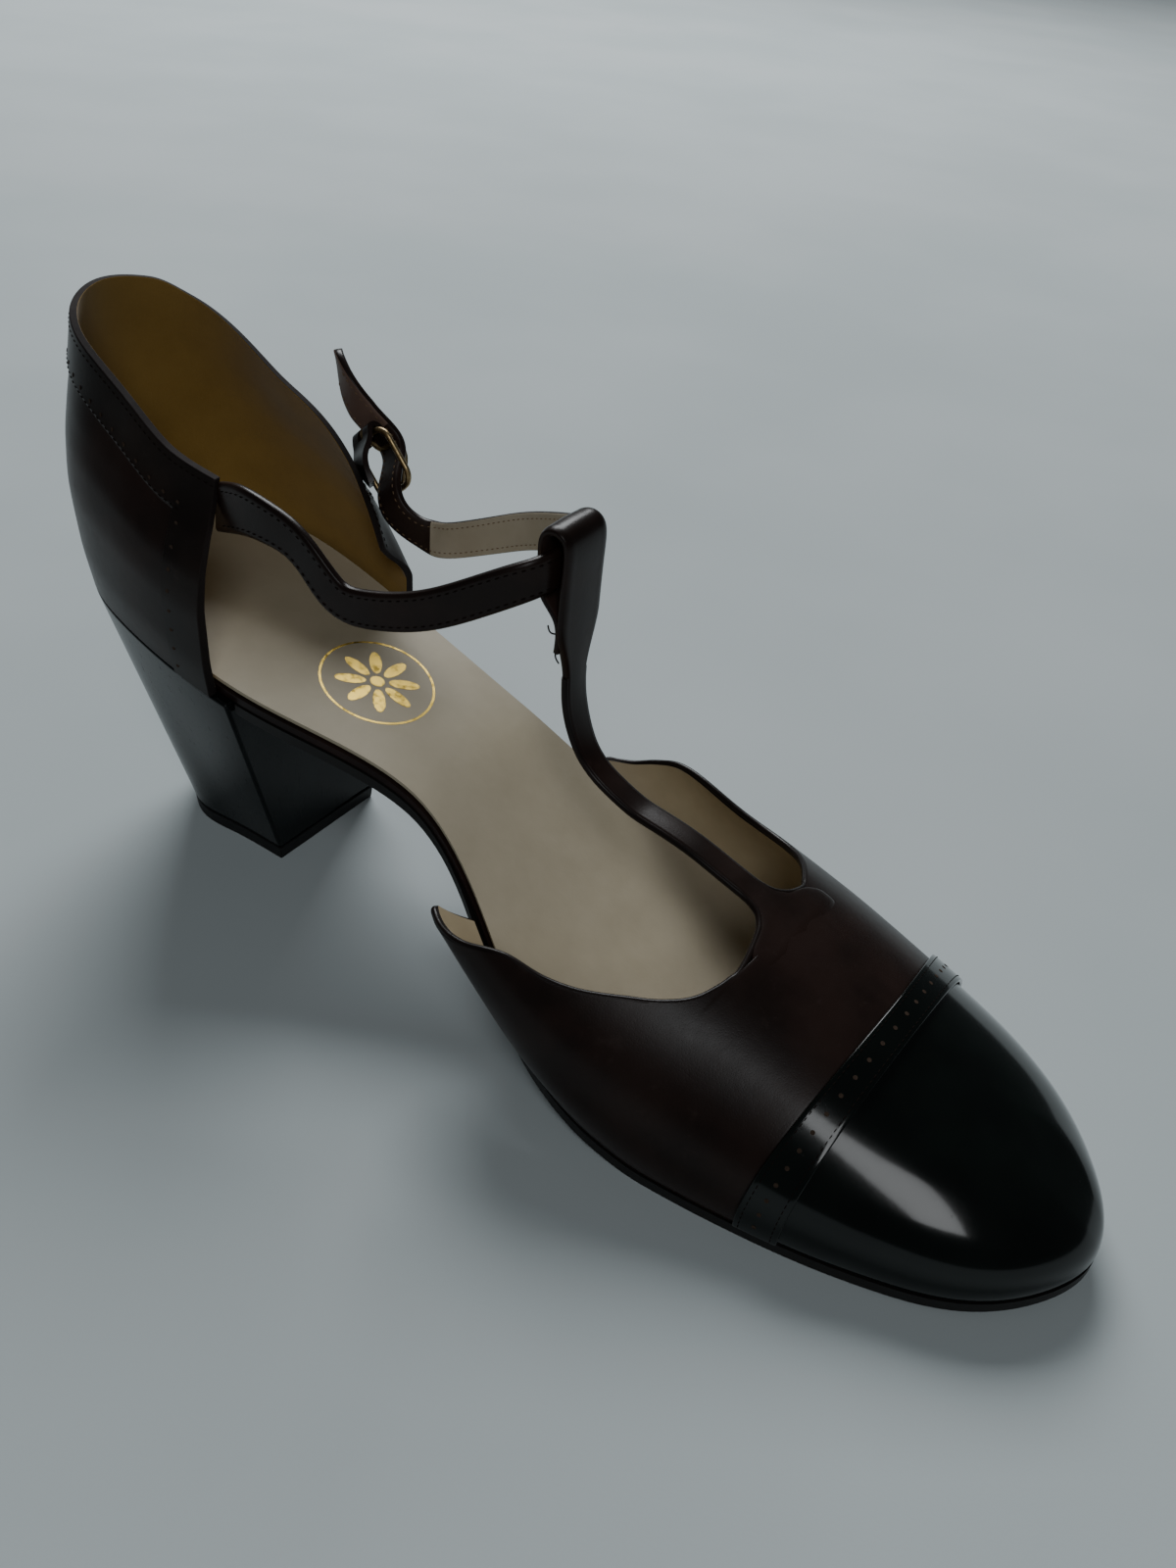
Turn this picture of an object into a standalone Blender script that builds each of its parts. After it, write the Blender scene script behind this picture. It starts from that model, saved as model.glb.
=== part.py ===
"""T-strap shoe with a block heel, left foot.

Lengths in this file are millimetres and MM turns them into Blender's metres.
A station is a distance along the shoe from the rear of the seat, towards the toe.
X runs to the toe, Y to the outer side of the foot and Z up from the floor.
The origin is the middle of the heel's face on the floor.
"""
import math

import bmesh
import bpy
import mathutils
import numpy as np

MM = 0.001

# Driving dimensions
LENGTH = 240.0
BALL_WIDTH = 76.0
SEAT_HEIGHT = 62.5
INSTEP_HEIGHT = 40.5
COLLAR_HEIGHT = 113.8
T_HEIGHT = 100.3
TOE_SPRING = 3.0

# Thicknesses and clearances
OUTSOLE = 2.2
INSOLE = 1.6
SOCK = 0.8
UPPER_WALL = 1.6
CAP_WALL = 1.8
BAND_WALL = 0.8
STRAP_WALL = 1.8
T_WALL = 1.4
TOP_PIECE = 3.2
GAP = 0.3
SOLE_MARGIN = 0.2
WAIST_TUCK = 2.0
SOCK_MARGIN = 0.8
BAND_STEP = 0.6

# Heel block
BREAST = 57.0
TIP_REAR = 17.0
TIP_FRONT = 55.5
TIP_WIDTH = 31.0
TIP_MARGIN = 0.3

# Ankle strap, T-strap and buckle
STRAP_WIDTH = 7.6
T_WIDTH = 6.0
LOOP_WIDTH = 12.0
LOOP_INSIDE = 3.8
BAR = 1.3
PRONG = 1.2
FRAME_LENGTH = 13.0
FRAME_CORNER = 3.0
TAB_WALL = 1.2
TAB_WIDTH = 6.2
FRAME_ROOM = 1.0

ORIGIN = ((TIP_REAR + TIP_FRONT) / 2, 0.0, 0.0)
STACK = OUTSOLE + INSOLE + SOCK + 2 * GAP
FEATHER_DROP = INSOLE + SOCK + GAP

# Feather line: station as a share of LENGTH, inner and outer reach as shares of BALL_WIDTH
FEATHER = (
    (0.033, 0.237, 0.242),
    (0.104, 0.349, 0.349),
    (0.249, 0.359, 0.349),
    (0.394, 0.253, 0.327),
    (0.480, 0.325, 0.375),
    (0.560, 0.455, 0.425),
    (0.625, 0.505, 0.462),
    (0.700, 0.515, 0.478),
    (0.795, 0.490, 0.425),
    (0.875, 0.445, 0.340),
    (0.938, 0.375, 0.215),
    (0.982, 0.250, 0.050),
)
TOE_ACROSS = -0.105

# Foot bed: station share of LENGTH, share of the seat's rise, share of TOE_SPRING
BED = (
    (0.000, 1.000, 0.00),
    (0.104, 0.946, 0.00),
    (0.249, 0.800, 0.00),
    (0.394, 0.610, 0.00),
    (0.470, 0.425, 0.00),
    (0.539, 0.245, 0.00),
    (0.600, 0.110, 0.00),
    (0.650, 0.030, 0.00),
    (0.700, 0.000, 0.00),
    (0.800, 0.000, 0.00),
    (0.892, 0.000, 0.25),
    (1.000, 0.000, 1.00),
)

# How far the outsole is drawn in: station share of LENGTH, share of WAIST_TUCK
WAIST = (
    (0.000, 1.000),
    (0.430, 1.000),
    (0.560, 0.250),
    (0.620, 0.000),
    (1.000, 0.000),
)

# Ridge of the forepart: share of the side's length, station share of LENGTH,
# place across as a share of BALL_WIDTH, height as a share of INSTEP_HEIGHT
RIDGE = (
    (0.000, 0.468, 0.000, 1.630),
    (0.100, 0.530, 0.000, 1.420),
    (0.200, 0.600, 0.000, 1.200),
    (0.330, 0.689, 0.000, 1.000),
    (0.535, 0.806, -0.020, 0.776),
    (0.700, 0.865, -0.040, 0.671),
    (0.850, 0.901, -0.055, 0.604),
    (1.000, 0.917, -0.060, 0.575),
)

# Rear end of each wing, as a station share of LENGTH
WING_START = {-1: 0.469, 1: 0.467}

# How the side walls leave the feather line: share of the side's length, lean outwards, reach up
WALL = {
    -1: ((0.00, 1.75, 1.05), (0.10, 1.10, 0.95), (0.25, 0.65, 0.72), (0.50, 0.24, 0.58), (1.00, 0.30, 0.58)),
    1: ((0.00, 0.80, 0.75), (0.12, 0.45, 0.72), (0.25, 0.22, 0.64), (0.50, 0.18, 0.58), (1.00, 0.28, 0.58)),
}
CROWN_REACH = 0.55

# Topline of each wing and of the throat: share of the side's length, share of the way up to the ridge
TOPLINE = {
    -1: ((0.037, 0.100), (0.080, 0.160), (0.130, 0.250), (0.185, 0.371), (0.218, 0.401), (0.249, 0.438),
         (0.298, 0.518), (0.334, 0.579), (0.354, 0.632), (0.365, 0.700), (0.370, 0.780), (0.371, 0.880),
         (0.372, 1.000)),
    1: ((0.000, 0.035), (0.039, 0.087), (0.080, 0.171), (0.123, 0.268), (0.180, 0.355), (0.233, 0.410),
        (0.283, 0.485), (0.325, 0.610), (0.347, 0.750), (0.358, 0.870), (0.362, 1.000)),
}
# Share of the side's length at which each wing's upper begins, and where it stops shifting the grid
WING_CORNER = {-1: 0.037, 1: 0.0}
WING_EASE = 0.25
# Length of a side of the forepart, and the cap's seam and band as shares of it
SIDE_LENGTH = 0.6 * LENGTH
CAP_SEAM = 0.535
CAP_BAND_FRONT = 0.592
BAND_START = 0.02

# Quarter: share of the way round from the inner front edge, collar height as a share of COLLAR_HEIGHT
QUARTER_ENDS = (0.223, 0.242)
COLLAR = (
    (0.000, 0.824),
    (0.083, 0.844),
    (0.177, 0.896),
    (0.300, 0.954),
    (0.400, 0.986),
    (0.490, 1.000),
    (0.560, 0.991),
    (0.620, 0.958),
    (0.700, 0.905),
    (0.777, 0.854),
    (0.883, 0.789),
    (0.937, 0.729),
    (0.975, 0.650),
    (1.000, 0.580),
)
# Quarter's swell as a share of BALL_WIDTH: share of the height, at the rear, at the sides
SWELL = (
    (0.00, 0.000, 0.000),
    (0.20, 0.026, 0.010),
    (0.40, 0.039, 0.010),
    (0.57, 0.037, -0.006),
    (0.70, 0.029, -0.034),
    (0.85, 0.013, -0.072),
    (1.00, -0.004, -0.101),
)
COLLAR_BAND = 9.0

# T-strap: share of the way back from the throat, share of the way up from the instep
T_PATH = (
    (0.070, 0.004),
    (0.196, 0.034),
    (0.311, 0.062),
    (0.435, 0.084),
    (0.560, 0.099),
    (0.640, 0.112),
    (0.782, 0.158),
    (0.846, 0.189),
    (0.902, 0.232),
    (0.951, 0.299),
    (0.984, 0.373),
    (1.000, 0.447),
    (1.004, 0.560),
    (1.004, 0.705),
    (1.000, 0.860),
)
# T-strap's width: share of its own length, share of T_WIDTH; and how far its root bends down at the sides
T_SPREAD = (
    (0.000, 3.60),
    (0.060, 3.60),
    (0.076, 3.20),
    (0.090, 1.90),
    (0.106, 1.20),
    (0.136, 0.92),
    (0.400, 0.90),
    (0.520, 1.05),
    (1.000, 1.00),
)
T_SAG = 0.0118
ROOT_SINK = 0.1
THROAT = 0.6875
T_TOP = 0.502
T_ROOT = 0.740

# Ankle strap, loop side to side: station share of LENGTH, across share of BALL_WIDTH,
# height share of T_HEIGHT and width share of STRAP_WIDTH
INNER_STRAP = (
    (0.2270, -0.268, 0.883, 1.37),
    (0.250, -0.281, 0.898, 1.32),
    (0.275, -0.287, 0.898, 1.20),
    (0.303, -0.286, 0.881, 1.05),
    (0.327, -0.287, 0.838, 1.00),
    (0.347, -0.282, 0.801, 1.00),
    (0.375, -0.270, 0.802, 1.00),
    (0.413, -0.237, 0.825, 1.00),
    (0.448, -0.190, 0.866, 1.00),
    (0.475, -0.140, 0.902, 1.00),
    (0.487, -0.092, 0.916, 1.00),
)
LOOP_PLACE = (0.4915, 0.0, 0.925, 1.00)
OUTER_STRAP = (
    (0.487, 0.095, 0.922, 1.00),
    (0.472, 0.155, 0.905, 1.00),
    (0.438, 0.220, 0.868, 1.00),
    (0.391, 0.277, 0.817, 1.00),
    (0.355, 0.302, 0.773, 1.00),
    (0.323, 0.312, 0.735, 1.00),
    (0.292, 0.322, 0.702, 1.00),
    (0.266, 0.334, 0.690, 1.00),
)

# Buckle: its middle, then the strap beside it as multiples of its length along and beside its plane
BUCKLE_PLACE = (0.207, 0.372, 0.800)
BUCKLE_LEAN = math.radians(47.0)
STRAP_AT_BUCKLE = (
    (-0.90, -0.26),
    (-0.50, -0.22),
    (-0.12, 0.12),
    (0.16, 0.35),
    (0.48, 0.33),
    (0.90, 0.18),
    (1.45, 0.16),
    (2.00, 0.34),
)
# Where the strap's free end starts to turn on edge, and the direction of its width at the tip
TAIL_START = 0.93
TAIL_WIDE = (0.49, -0.69, 0.51)
# Prong over the strap, in the same multiples
PRONG_PATH = (
    (0.24, 0.10),
    (0.24, 0.46),
    (0.06, 0.54),
    (-0.25, 0.32),
)
# Tab below the bar, from the bar's middle in the same multiples, and its lean against the quarter
TAB_ROOT = (
    (-0.75, -0.455),
    (-0.50, -0.455),
    (-0.29, -0.385),
    (-0.12, -0.225),
)
TAB_TILT = math.radians(38.0)
TAB_FLAT_SHARE = 0.6


def slopes(xs, ys):
    """Slopes at a table's rows for a curve that never overshoots them."""
    h, d = np.diff(xs), np.diff(ys) / np.diff(xs)
    m = np.zeros(len(xs))
    for i in range(1, len(xs) - 1):
        if d[i - 1] * d[i] > 0:
            a, b = 2 * h[i] + h[i - 1], h[i] + 2 * h[i - 1]
            m[i] = (a + b) / (a / d[i - 1] + b / d[i])
    m[0], m[-1] = d[0], d[-1]
    return m


def follow(xs, ys, at):
    """Smooth curve through a table's rows, read at any places."""
    xs, ys = np.asarray(xs, float), np.asarray(ys, float)
    at = np.clip(at, xs[0], xs[-1])
    k = np.clip(np.searchsorted(xs, at, side="right") - 1, 0, len(xs) - 2)
    h, m = xs[k + 1] - xs[k], slopes(xs, ys)
    s = (at - xs[k]) / h
    rise = s * s * (3 - 2 * s)
    return (1 - rise) * ys[k] + rise * ys[k + 1] + h * s * (1 - s) * ((1 - s) * m[k] - s * m[k + 1])


def column(table, index):
    return np.array([row[index] for row in table])


def smooth_line(points, shares, closed=False):
    """Cubic curve with even curvature through a few points, read at shares of its length."""
    p = np.asarray(points, float)
    if closed:
        p = np.vstack([p, p[:1]])
    n = len(p)
    knots = np.concatenate([[0], np.cumsum(np.sqrt(np.linalg.norm(np.diff(p, axis=0), axis=1)))])
    h = np.diff(knots)
    d = np.diff(p, axis=0) / h[:, None]
    a, b = np.zeros((n, n)), np.zeros_like(p)
    for i in range(1, n - 1):
        a[i, i - 1:i + 2] = h[i - 1], 2 * (h[i - 1] + h[i]), h[i]
        b[i] = 6 * (d[i] - d[i - 1])
    a[0, 0] = a[-1, -1] = 1
    if closed:
        a[0, :2] = 2 * (h[0] + h[-1]), h[0]
        a[0, n - 2] = h[-1]
        b[0] = 6 * (d[0] - d[-1])
        a[-1, 0] = -1
    bend = np.linalg.solve(a, b)
    fine = np.linspace(0, knots[-1], 4001)
    k = np.clip(np.searchsorted(knots, fine, side="right") - 1, 0, n - 2)
    left, right, width = (knots[k + 1] - fine)[:, None], (fine - knots[k])[:, None], h[k][:, None]
    curve = ((bend[k] * left ** 3 + bend[k + 1] * right ** 3) / (6 * width)
             + (p[k] / width - bend[k] * width / 6) * left
             + (p[k + 1] / width - bend[k + 1] * width / 6) * right)
    return at_shares(curve, shares)


def at_shares(curve, shares):
    run = np.concatenate([[0], np.cumsum(np.linalg.norm(np.diff(curve, axis=0), axis=1))])
    at = np.asarray(shares, float) * run[-1]
    return np.stack([np.interp(at, run, curve[:, j]) for j in range(curve.shape[1])], -1)


def feather_sides():
    """The feather line's outer and inner halves, each from the seat's rear to the toe."""
    outer = [(r[0] * LENGTH, r[2] * BALL_WIDTH) for r in FEATHER]
    inner = [(r[0] * LENGTH, -r[1] * BALL_WIDTH) for r in FEATHER]
    ring = [(0, 0)] + outer + [(LENGTH, TOE_ACROSS * BALL_WIDTH)] + inner[::-1]
    fine = smooth_line(ring, np.linspace(0, 1, 2401), closed=True)
    tip = int(np.argmax(fine[:, 0]))
    return {1: fine[:tip + 1], -1: fine[tip:][::-1]}


SIDES = feather_sides()


def inset_side(side, inset):
    """One half of the feather line, moved inwards by a distance."""
    half = SIDES[side]
    along = np.gradient(half, axis=0)
    along /= np.linalg.norm(along, axis=1)[:, None]
    out = np.stack([-along[:, 1], along[:, 0]], -1) * side
    moved = half - out * inset
    moved[0, 1] = moved[-1, 1] = 0
    moved[0], moved[-1] = half[0] + (inset, 0), half[-1] - (inset, 0)
    return moved


def bed_height(station):
    """Top of the sock over the floor."""
    rise = (SEAT_HEIGHT - STACK) * follow(column(BED, 0) * LENGTH, column(BED, 1), station)
    return STACK + rise + TOE_SPRING * follow(column(BED, 0) * LENGTH, column(BED, 2), station)


def side_line(side, start, shares):
    """Points and outward directions of one side's feather line, from a station to the toe."""
    half = SIDES[side]
    first = [start, np.interp(start, half[:, 0], half[:, 1])]
    line = np.vstack([[first], half[half[:, 0] > start]])
    along = np.gradient(line, axis=0)
    along /= np.linalg.norm(along, axis=1)[:, None]
    both = at_shares(np.hstack([line, along * 0]), shares)[:, :2]
    run = np.concatenate([[0], np.cumsum(np.linalg.norm(np.diff(line, axis=0), axis=1))])
    turn = np.stack([np.interp(shares * run[-1], run, along[:, j]) for j in (0, 1)], -1)
    turn /= np.linalg.norm(turn, axis=1)[:, None]
    return both, np.stack([-turn[:, 1], turn[:, 0]], -1) * side


def ridge_line(share):
    """Ridge of the forepart, and its slope."""
    xs, zs = column(RIDGE, 1) * LENGTH, column(RIDGE, 3) * INSTEP_HEIGHT
    x = follow(column(RIDGE, 0), xs, share)
    y = follow(column(RIDGE, 0), column(RIDGE, 2) * BALL_WIDTH, share)
    z = follow(column(RIDGE, 0), zs, share)
    before, after = np.maximum(x - 1, xs[0]), np.minimum(x + 1, xs[-1])
    slope = (follow(xs, zs, after) - follow(xs, zs, before)) / (after - before)
    return np.stack([x, y, z], -1), slope


def forepart(side, share, up):
    """Outer surface of the forepart, from the feather line (up 0) to the ridge (up 1)."""
    foot, out = side_line(side, WING_START[side] * LENGTH, share)
    foot = np.column_stack([foot, bed_height(foot[:, 0]) - FEATHER_DROP])
    ridge, slope = ridge_line(share)
    lean = follow(column(WALL[side], 0), column(WALL[side], 1), share)
    reach = follow(column(WALL[side], 0), column(WALL[side], 2), share)
    rise = np.column_stack([out * lean[:, None], np.ones(len(share))])
    rise /= np.linalg.norm(rise, axis=1)[:, None]
    width = np.linalg.norm(foot[:, :2] - ridge[:, :2], axis=1)[:, None]
    beyond = side_line(-side, WING_START[-side] * LENGTH, share)[0]
    across = foot[:, :2] - beyond
    across /= np.maximum(np.linalg.norm(across, axis=1), 1.0)[:, None]
    across = np.column_stack([across, slope * across[:, 0]])
    wall = foot + rise * (reach * (ridge[:, 2] - foot[:, 2]))[:, None]
    crown = ridge + CROWN_REACH * width * across
    v = np.asarray(up, float)[:, None]
    return ((1 - v) ** 3 * foot + 3 * (1 - v) ** 2 * v * wall
            + 3 * (1 - v) * v * v * crown + v ** 3 * ridge)


def quarter_foot(share):
    """Feather line round the heel, from the inner front edge to the outer one."""
    inner, outer = SIDES[-1], SIDES[1]
    inner = inner[inner[:, 0] <= QUARTER_ENDS[0] * LENGTH][::-1]
    outer = outer[outer[:, 0] <= QUARTER_ENDS[1] * LENGTH]
    line = np.vstack([inner, outer[1:]])
    foot = at_shares(line, share)
    step = 0.002
    ahead, behind = at_shares(line, np.minimum(share + step, 1)), at_shares(line, np.maximum(share - step, 0))
    along = ahead - behind
    along /= np.linalg.norm(along, axis=1)[:, None]
    return foot, np.stack([-along[:, 1], along[:, 0]], -1)


def collar_height(share):
    return COLLAR_HEIGHT * follow(column(COLLAR, 0), column(COLLAR, 1), share)


def quarter(share, up, proud=0.0):
    """Outer surface of the quarter, from the feather line (up 0) to the collar (up 1)."""
    foot, out = quarter_foot(share)
    low = bed_height(foot[:, 0]) - FEATHER_DROP
    z = low + (collar_height(share) - low) * up
    rear = follow(column(SWELL, 0), column(SWELL, 1) * BALL_WIDTH, up)
    sides = follow(column(SWELL, 0), column(SWELL, 2) * BALL_WIDTH, up)
    turn = np.clip(np.abs(share - 0.5) / 0.32, 0, 1)
    turn = turn * turn * (3 - 2 * turn)
    swell = rear * (1 - turn) + sides * turn + proud
    return np.column_stack([foot + out * swell[:, None], z])


def material(name, colour, roughness, metallic=0.0):
    made = bpy.data.materials.new(name)
    made.use_nodes = True
    shader = made.node_tree.nodes["Principled BSDF"]
    shader.inputs["Base Color"].default_value = (*colour, 1.0)
    shader.inputs["Roughness"].default_value = roughness
    shader.inputs["Metallic"].default_value = metallic
    return made


def make_materials():
    return {
        "brown leather": material("brown_leather", (0.035, 0.016, 0.013), 0.35),
        "black patent": material("black_patent", (0.006, 0.008, 0.007), 0.08),
        "heel leather": material("heel_leather", (0.010, 0.012, 0.012), 0.20),
        "rubber": material("top_piece_rubber", (0.012, 0.012, 0.012), 0.70),
        "sole leather": material("sole_leather", (0.030, 0.020, 0.016), 0.55),
        "board": material("insole_board", (0.045, 0.025, 0.020), 0.50),
        "sock leather": material("sock_leather", (0.42, 0.33, 0.29), 0.60),
        "brass": material("brass", (0.65, 0.48, 0.22), 0.30, 1.0),
    }


def collection(name):
    made = bpy.data.collections.new(name)
    bpy.context.scene.collection.children.link(made)
    return made


def placed(points):
    return (np.asarray(points, float) - ORIGIN) * MM


def add_object(name, mesh, finish, home):
    mesh.materials.append(finish)
    mesh.shade_smooth()
    mesh.set_sharp_from_angle(angle=math.radians(40))
    made = bpy.data.objects.new(name, mesh)
    home.objects.link(made)
    return made


def bent_grid(columns, rows, surface):
    """A grid whose corners a function moves: it gets shares along and across, and gives millimetres."""
    bm = bmesh.new()
    bmesh.ops.create_grid(bm, x_segments=columns, y_segments=rows, size=1.0)
    flat = np.array([v.co[:] for v in bm.verts])
    moved = placed(surface((flat[:, 0] + 1) / 2, (flat[:, 1] + 1) / 2))
    for vert, co in zip(bm.verts, moved):
        vert.co = co
    bmesh.ops.remove_doubles(bm, verts=bm.verts, dist=0.02 * MM)
    bmesh.ops.dissolve_degenerate(bm, edges=bm.edges, dist=0.01 * MM)
    bm.normal_update()
    return bm


def finish_mesh(bm, name):
    mesh = bpy.data.meshes.new(name)
    bm.to_mesh(mesh)
    bm.free()
    return mesh


def shell(name, bm, wall, finish, home, inside, centred=False):
    """Gives an open surface its wall, on the side where a point inside the shoe lies."""
    inner = placed(inside)
    facing = sum(f.normal.dot(f.calc_center_median() - type(f.normal)(inner)) * f.calc_area() for f in bm.faces)
    if facing < 0:
        bmesh.ops.reverse_faces(bm, faces=bm.faces)
    made = add_object(name, finish_mesh(bm, name), finish, home)
    solid = made.modifiers.new("wall", "SOLIDIFY")
    solid.thickness = wall * MM
    solid.offset = 0.0 if centred else -1.0
    solid.use_even_offset = True
    return made


def slab(name, line, heights, finish, home, columns=36, rows=4):
    """A sheet between two edges, given a top and a bottom height."""
    top, bottom = heights

    def surface(u, v):
        inner, outer = line(u)
        flat = inner + (outer - inner) * v[:, None]
        return np.column_stack([flat, top(flat[:, 0])])

    bm = bent_grid(columns, rows, surface)
    sunk = bmesh.ops.extrude_face_region(bm, geom=list(bm.faces))
    for vert in (g for g in sunk["geom"] if isinstance(g, bmesh.types.BMVert)):
        station = vert.co.x / MM + ORIGIN[0]
        vert.co.z = float(bottom(np.array([station]))[0]) * MM
    bmesh.ops.recalc_face_normals(bm, faces=bm.faces)
    return add_object(name, finish_mesh(bm, name), finish, home)


def edge_pair(inset, start=None):
    """Inner and outer points of the inset feather line at the same station, for a slab."""
    inner, outer = inset_side(-1, inset), inset_side(1, inset)
    end = LENGTH - inset

    def line(u):
        if start is None:
            x = inset + (end - inset) * (1 - np.cos(math.pi * u)) / 2
        else:
            x = start + (end - start) * np.sin(math.pi / 2 * u)
        pair = []
        for half in (inner, outer):
            order = np.argsort(half[:, 0])
            pair.append(np.column_stack([x, np.interp(x, half[order, 0], half[order, 1])]))
        tip = np.isclose(x, end)
        pair[0][tip, 1] = pair[1][tip, 1] = TOE_ACROSS * BALL_WIDTH
        return pair

    return line


def under_bed(drop):
    return lambda station: bed_height(station) - drop


def make_sock(mats, home):
    line = edge_pair(CAP_WALL + GAP + SOCK_MARGIN)
    slab("sock", line, (under_bed(0), under_bed(SOCK)), mats["sock leather"], home)


def make_insole(mats, home):
    line = edge_pair(CAP_WALL + GAP)
    slab("insole", line, (under_bed(SOCK + GAP), under_bed(SOCK + GAP + INSOLE)), mats["board"], home)


def make_outsole(mats, home):
    edge = edge_pair(-SOLE_MARGIN, BREAST + GAP)

    def tucked(u):
        """The outsole's edges, drawn in under the waist."""
        inner, outer = edge(u)
        tuck = WAIST_TUCK * follow(column(WAIST, 0) * LENGTH, column(WAIST, 1), inner[:, 0])
        sideways = np.column_stack([np.zeros(len(tuck)), tuck])
        return inner + sideways, outer - sideways

    top = FEATHER_DROP + GAP
    slab("outsole", tucked, (under_bed(top), under_bed(top + OUTSOLE)), mats["sole leather"], home)


def tip_line(margin, shares):
    """The heel's outline at the floor: straight sides and a round rear."""
    half = TIP_WIDTH / 2 - margin
    rear, front = TIP_REAR + margin, TIP_FRONT - margin
    deep = front - rear
    side = [(front, half), (front - 0.40 * deep, half), (front - 0.72 * deep, 0.93 * half), (rear, 0)]
    points = [(x, -y) for x, y in side] + [(x, y) for x, y in side[-2::-1]]
    return smooth_line(points, shares)


def seat_line(shares):
    inner = SIDES[-1][SIDES[-1][:, 0] <= BREAST][::-1]
    outer = SIDES[1][SIDES[1][:, 0] <= BREAST]
    return at_shares(np.vstack([inner, outer[1:]]), shares)


def block(name, heights, rings, finish, home):
    """A block between an upper and a lower outline, each from the breast round the rear and back."""
    def strip(ring, height):
        def surface(u, v):
            inner, outer = ring((1 - u) / 2), ring((1 + u) / 2)
            flat = inner + (outer - inner) * v[:, None]
            return np.column_stack([flat, height(flat[:, 0])])
        return surface

    bm = bmesh.new()
    bmesh.ops.create_grid(bm, x_segments=22, y_segments=8, size=1.0)
    shares = np.array([v.co[:] for v in bm.verts]) / 2 + 0.5
    upper = placed(strip(rings[0], heights[0])(shares[:, 0], shares[:, 1]))
    lower = placed(strip(rings[1], heights[1])(shares[:, 0], shares[:, 1]))
    order = {(round(v.co.x, 5), round(v.co.y, 5)): k for k, v in enumerate(bm.verts)}
    grown = bmesh.ops.extrude_face_region(bm, geom=list(bm.faces))["geom"]
    sunk = {g for g in grown if isinstance(g, bmesh.types.BMVert)}
    for vert in bm.verts:
        k = order[(round(vert.co.x, 5), round(vert.co.y, 5))]
        vert.co = lower[k] if vert in sunk else upper[k]
    bmesh.ops.remove_doubles(bm, verts=bm.verts, dist=0.02 * MM)
    bmesh.ops.recalc_face_normals(bm, faces=bm.faces)
    return add_object(name, finish_mesh(bm, name), finish, home)


def level(height):
    return lambda station: np.full(len(station), float(height))


def make_heel(mats, home):
    seat = under_bed(FEATHER_DROP + GAP)
    heights = (seat, level(TOP_PIECE + GAP))
    rings = (seat_line, lambda shares: tip_line(0, shares))
    block("heel", heights, rings, mats["heel leather"], home)
    heights = (level(TOP_PIECE), level(0))
    rings = (lambda shares: tip_line(0, shares), lambda shares: tip_line(TIP_MARGIN, shares))
    block("top_piece", heights, rings, mats["rubber"], home)


def fold_sides(u):
    """Splits shares along a piece that goes up the inner side to the toe and back down the outer one."""
    outer = u > 0.5
    return outer, np.where(outer, 2 * (1 - u), 2 * u)


def forepart_surface(start, stop):
    """Surface of the forepart between two shares of its sides, round the toe and up to the ridge."""
    def surface(u, v):
        outer, way = fold_sides(u)
        share = start + (stop - start) * way
        points = np.zeros((len(u), 3))
        for side, mask in ((-1, ~outer), (1, outer)):
            points[mask] = forepart(side, share[mask], v[mask])
        return points
    return surface


def throat_columns(u):
    """Sets the vamp's columns close together where the topline turns across the ridge."""
    return follow((0.0, 0.45, 0.78, 1.0), (0.0, 0.565, 0.700, 1.0), u)


def wing_share(side, share, edge):
    """Starts a wing at its corner and leaves the shares near the throat as they are."""
    return np.interp(share, (0, WING_EASE, edge), (WING_CORNER[side], WING_EASE, edge))


def make_vamp(mats, home, tools):
    """Vamp with its two wings, and the T-strap that is cut in one with it."""
    patches = []
    edge = CAP_SEAM - GAP / 2 / SIDE_LENGTH
    for side in (-1, 1):
        def surface(u, v, side=side):
            share = wing_share(side, edge * throat_columns(u), edge)
            up = v * follow(column(TOPLINE[side], 0), column(TOPLINE[side], 1), share)
            return forepart(side, share, up)
        patches.append(bent_grid(38, 9, surface))
    both = bmesh.new()
    for bm in patches:
        mesh = finish_mesh(bm, "patch")
        both.from_mesh(mesh)
        bpy.data.meshes.remove(mesh)
    bmesh.ops.remove_doubles(both, verts=both.verts, dist=0.02 * MM)
    bmesh.ops.recalc_face_normals(both, faces=both.faces)
    inside = (0.72 * LENGTH, 0, INSTEP_HEIGHT / 2)
    vamp = shell("vamp", both, UPPER_WALL, mats["brown leather"], home, inside)
    strap = make_t_strap(mats, tools)
    strap.hide_render = True
    strap.display_type = "WIRE"
    join = vamp.modifiers.new("t_strap", "BOOLEAN")
    join.operation = "UNION"
    join.object = strap
    return vamp


def ribbon(name, path, widths, wide, wall, finish, home, rows=2):
    """A strap: its middle line, its width and the direction of its width at each step."""
    path, widths, wide = np.asarray(path), np.asarray(widths), np.asarray(wide)

    def surface(u, v):
        k = np.rint(u * (len(path) - 1)).astype(int)
        return path[k] + wide[k] * (widths[k] * (v - 0.5))[:, None]

    bm = bent_grid(len(path) - 1, rows, surface)
    made = add_object(name, finish_mesh(bm, name), finish, home)
    solid = made.modifiers.new("wall", "SOLIDIFY")
    solid.thickness = wall * MM
    solid.offset = 0.0
    solid.use_even_offset = True
    return made


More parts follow.
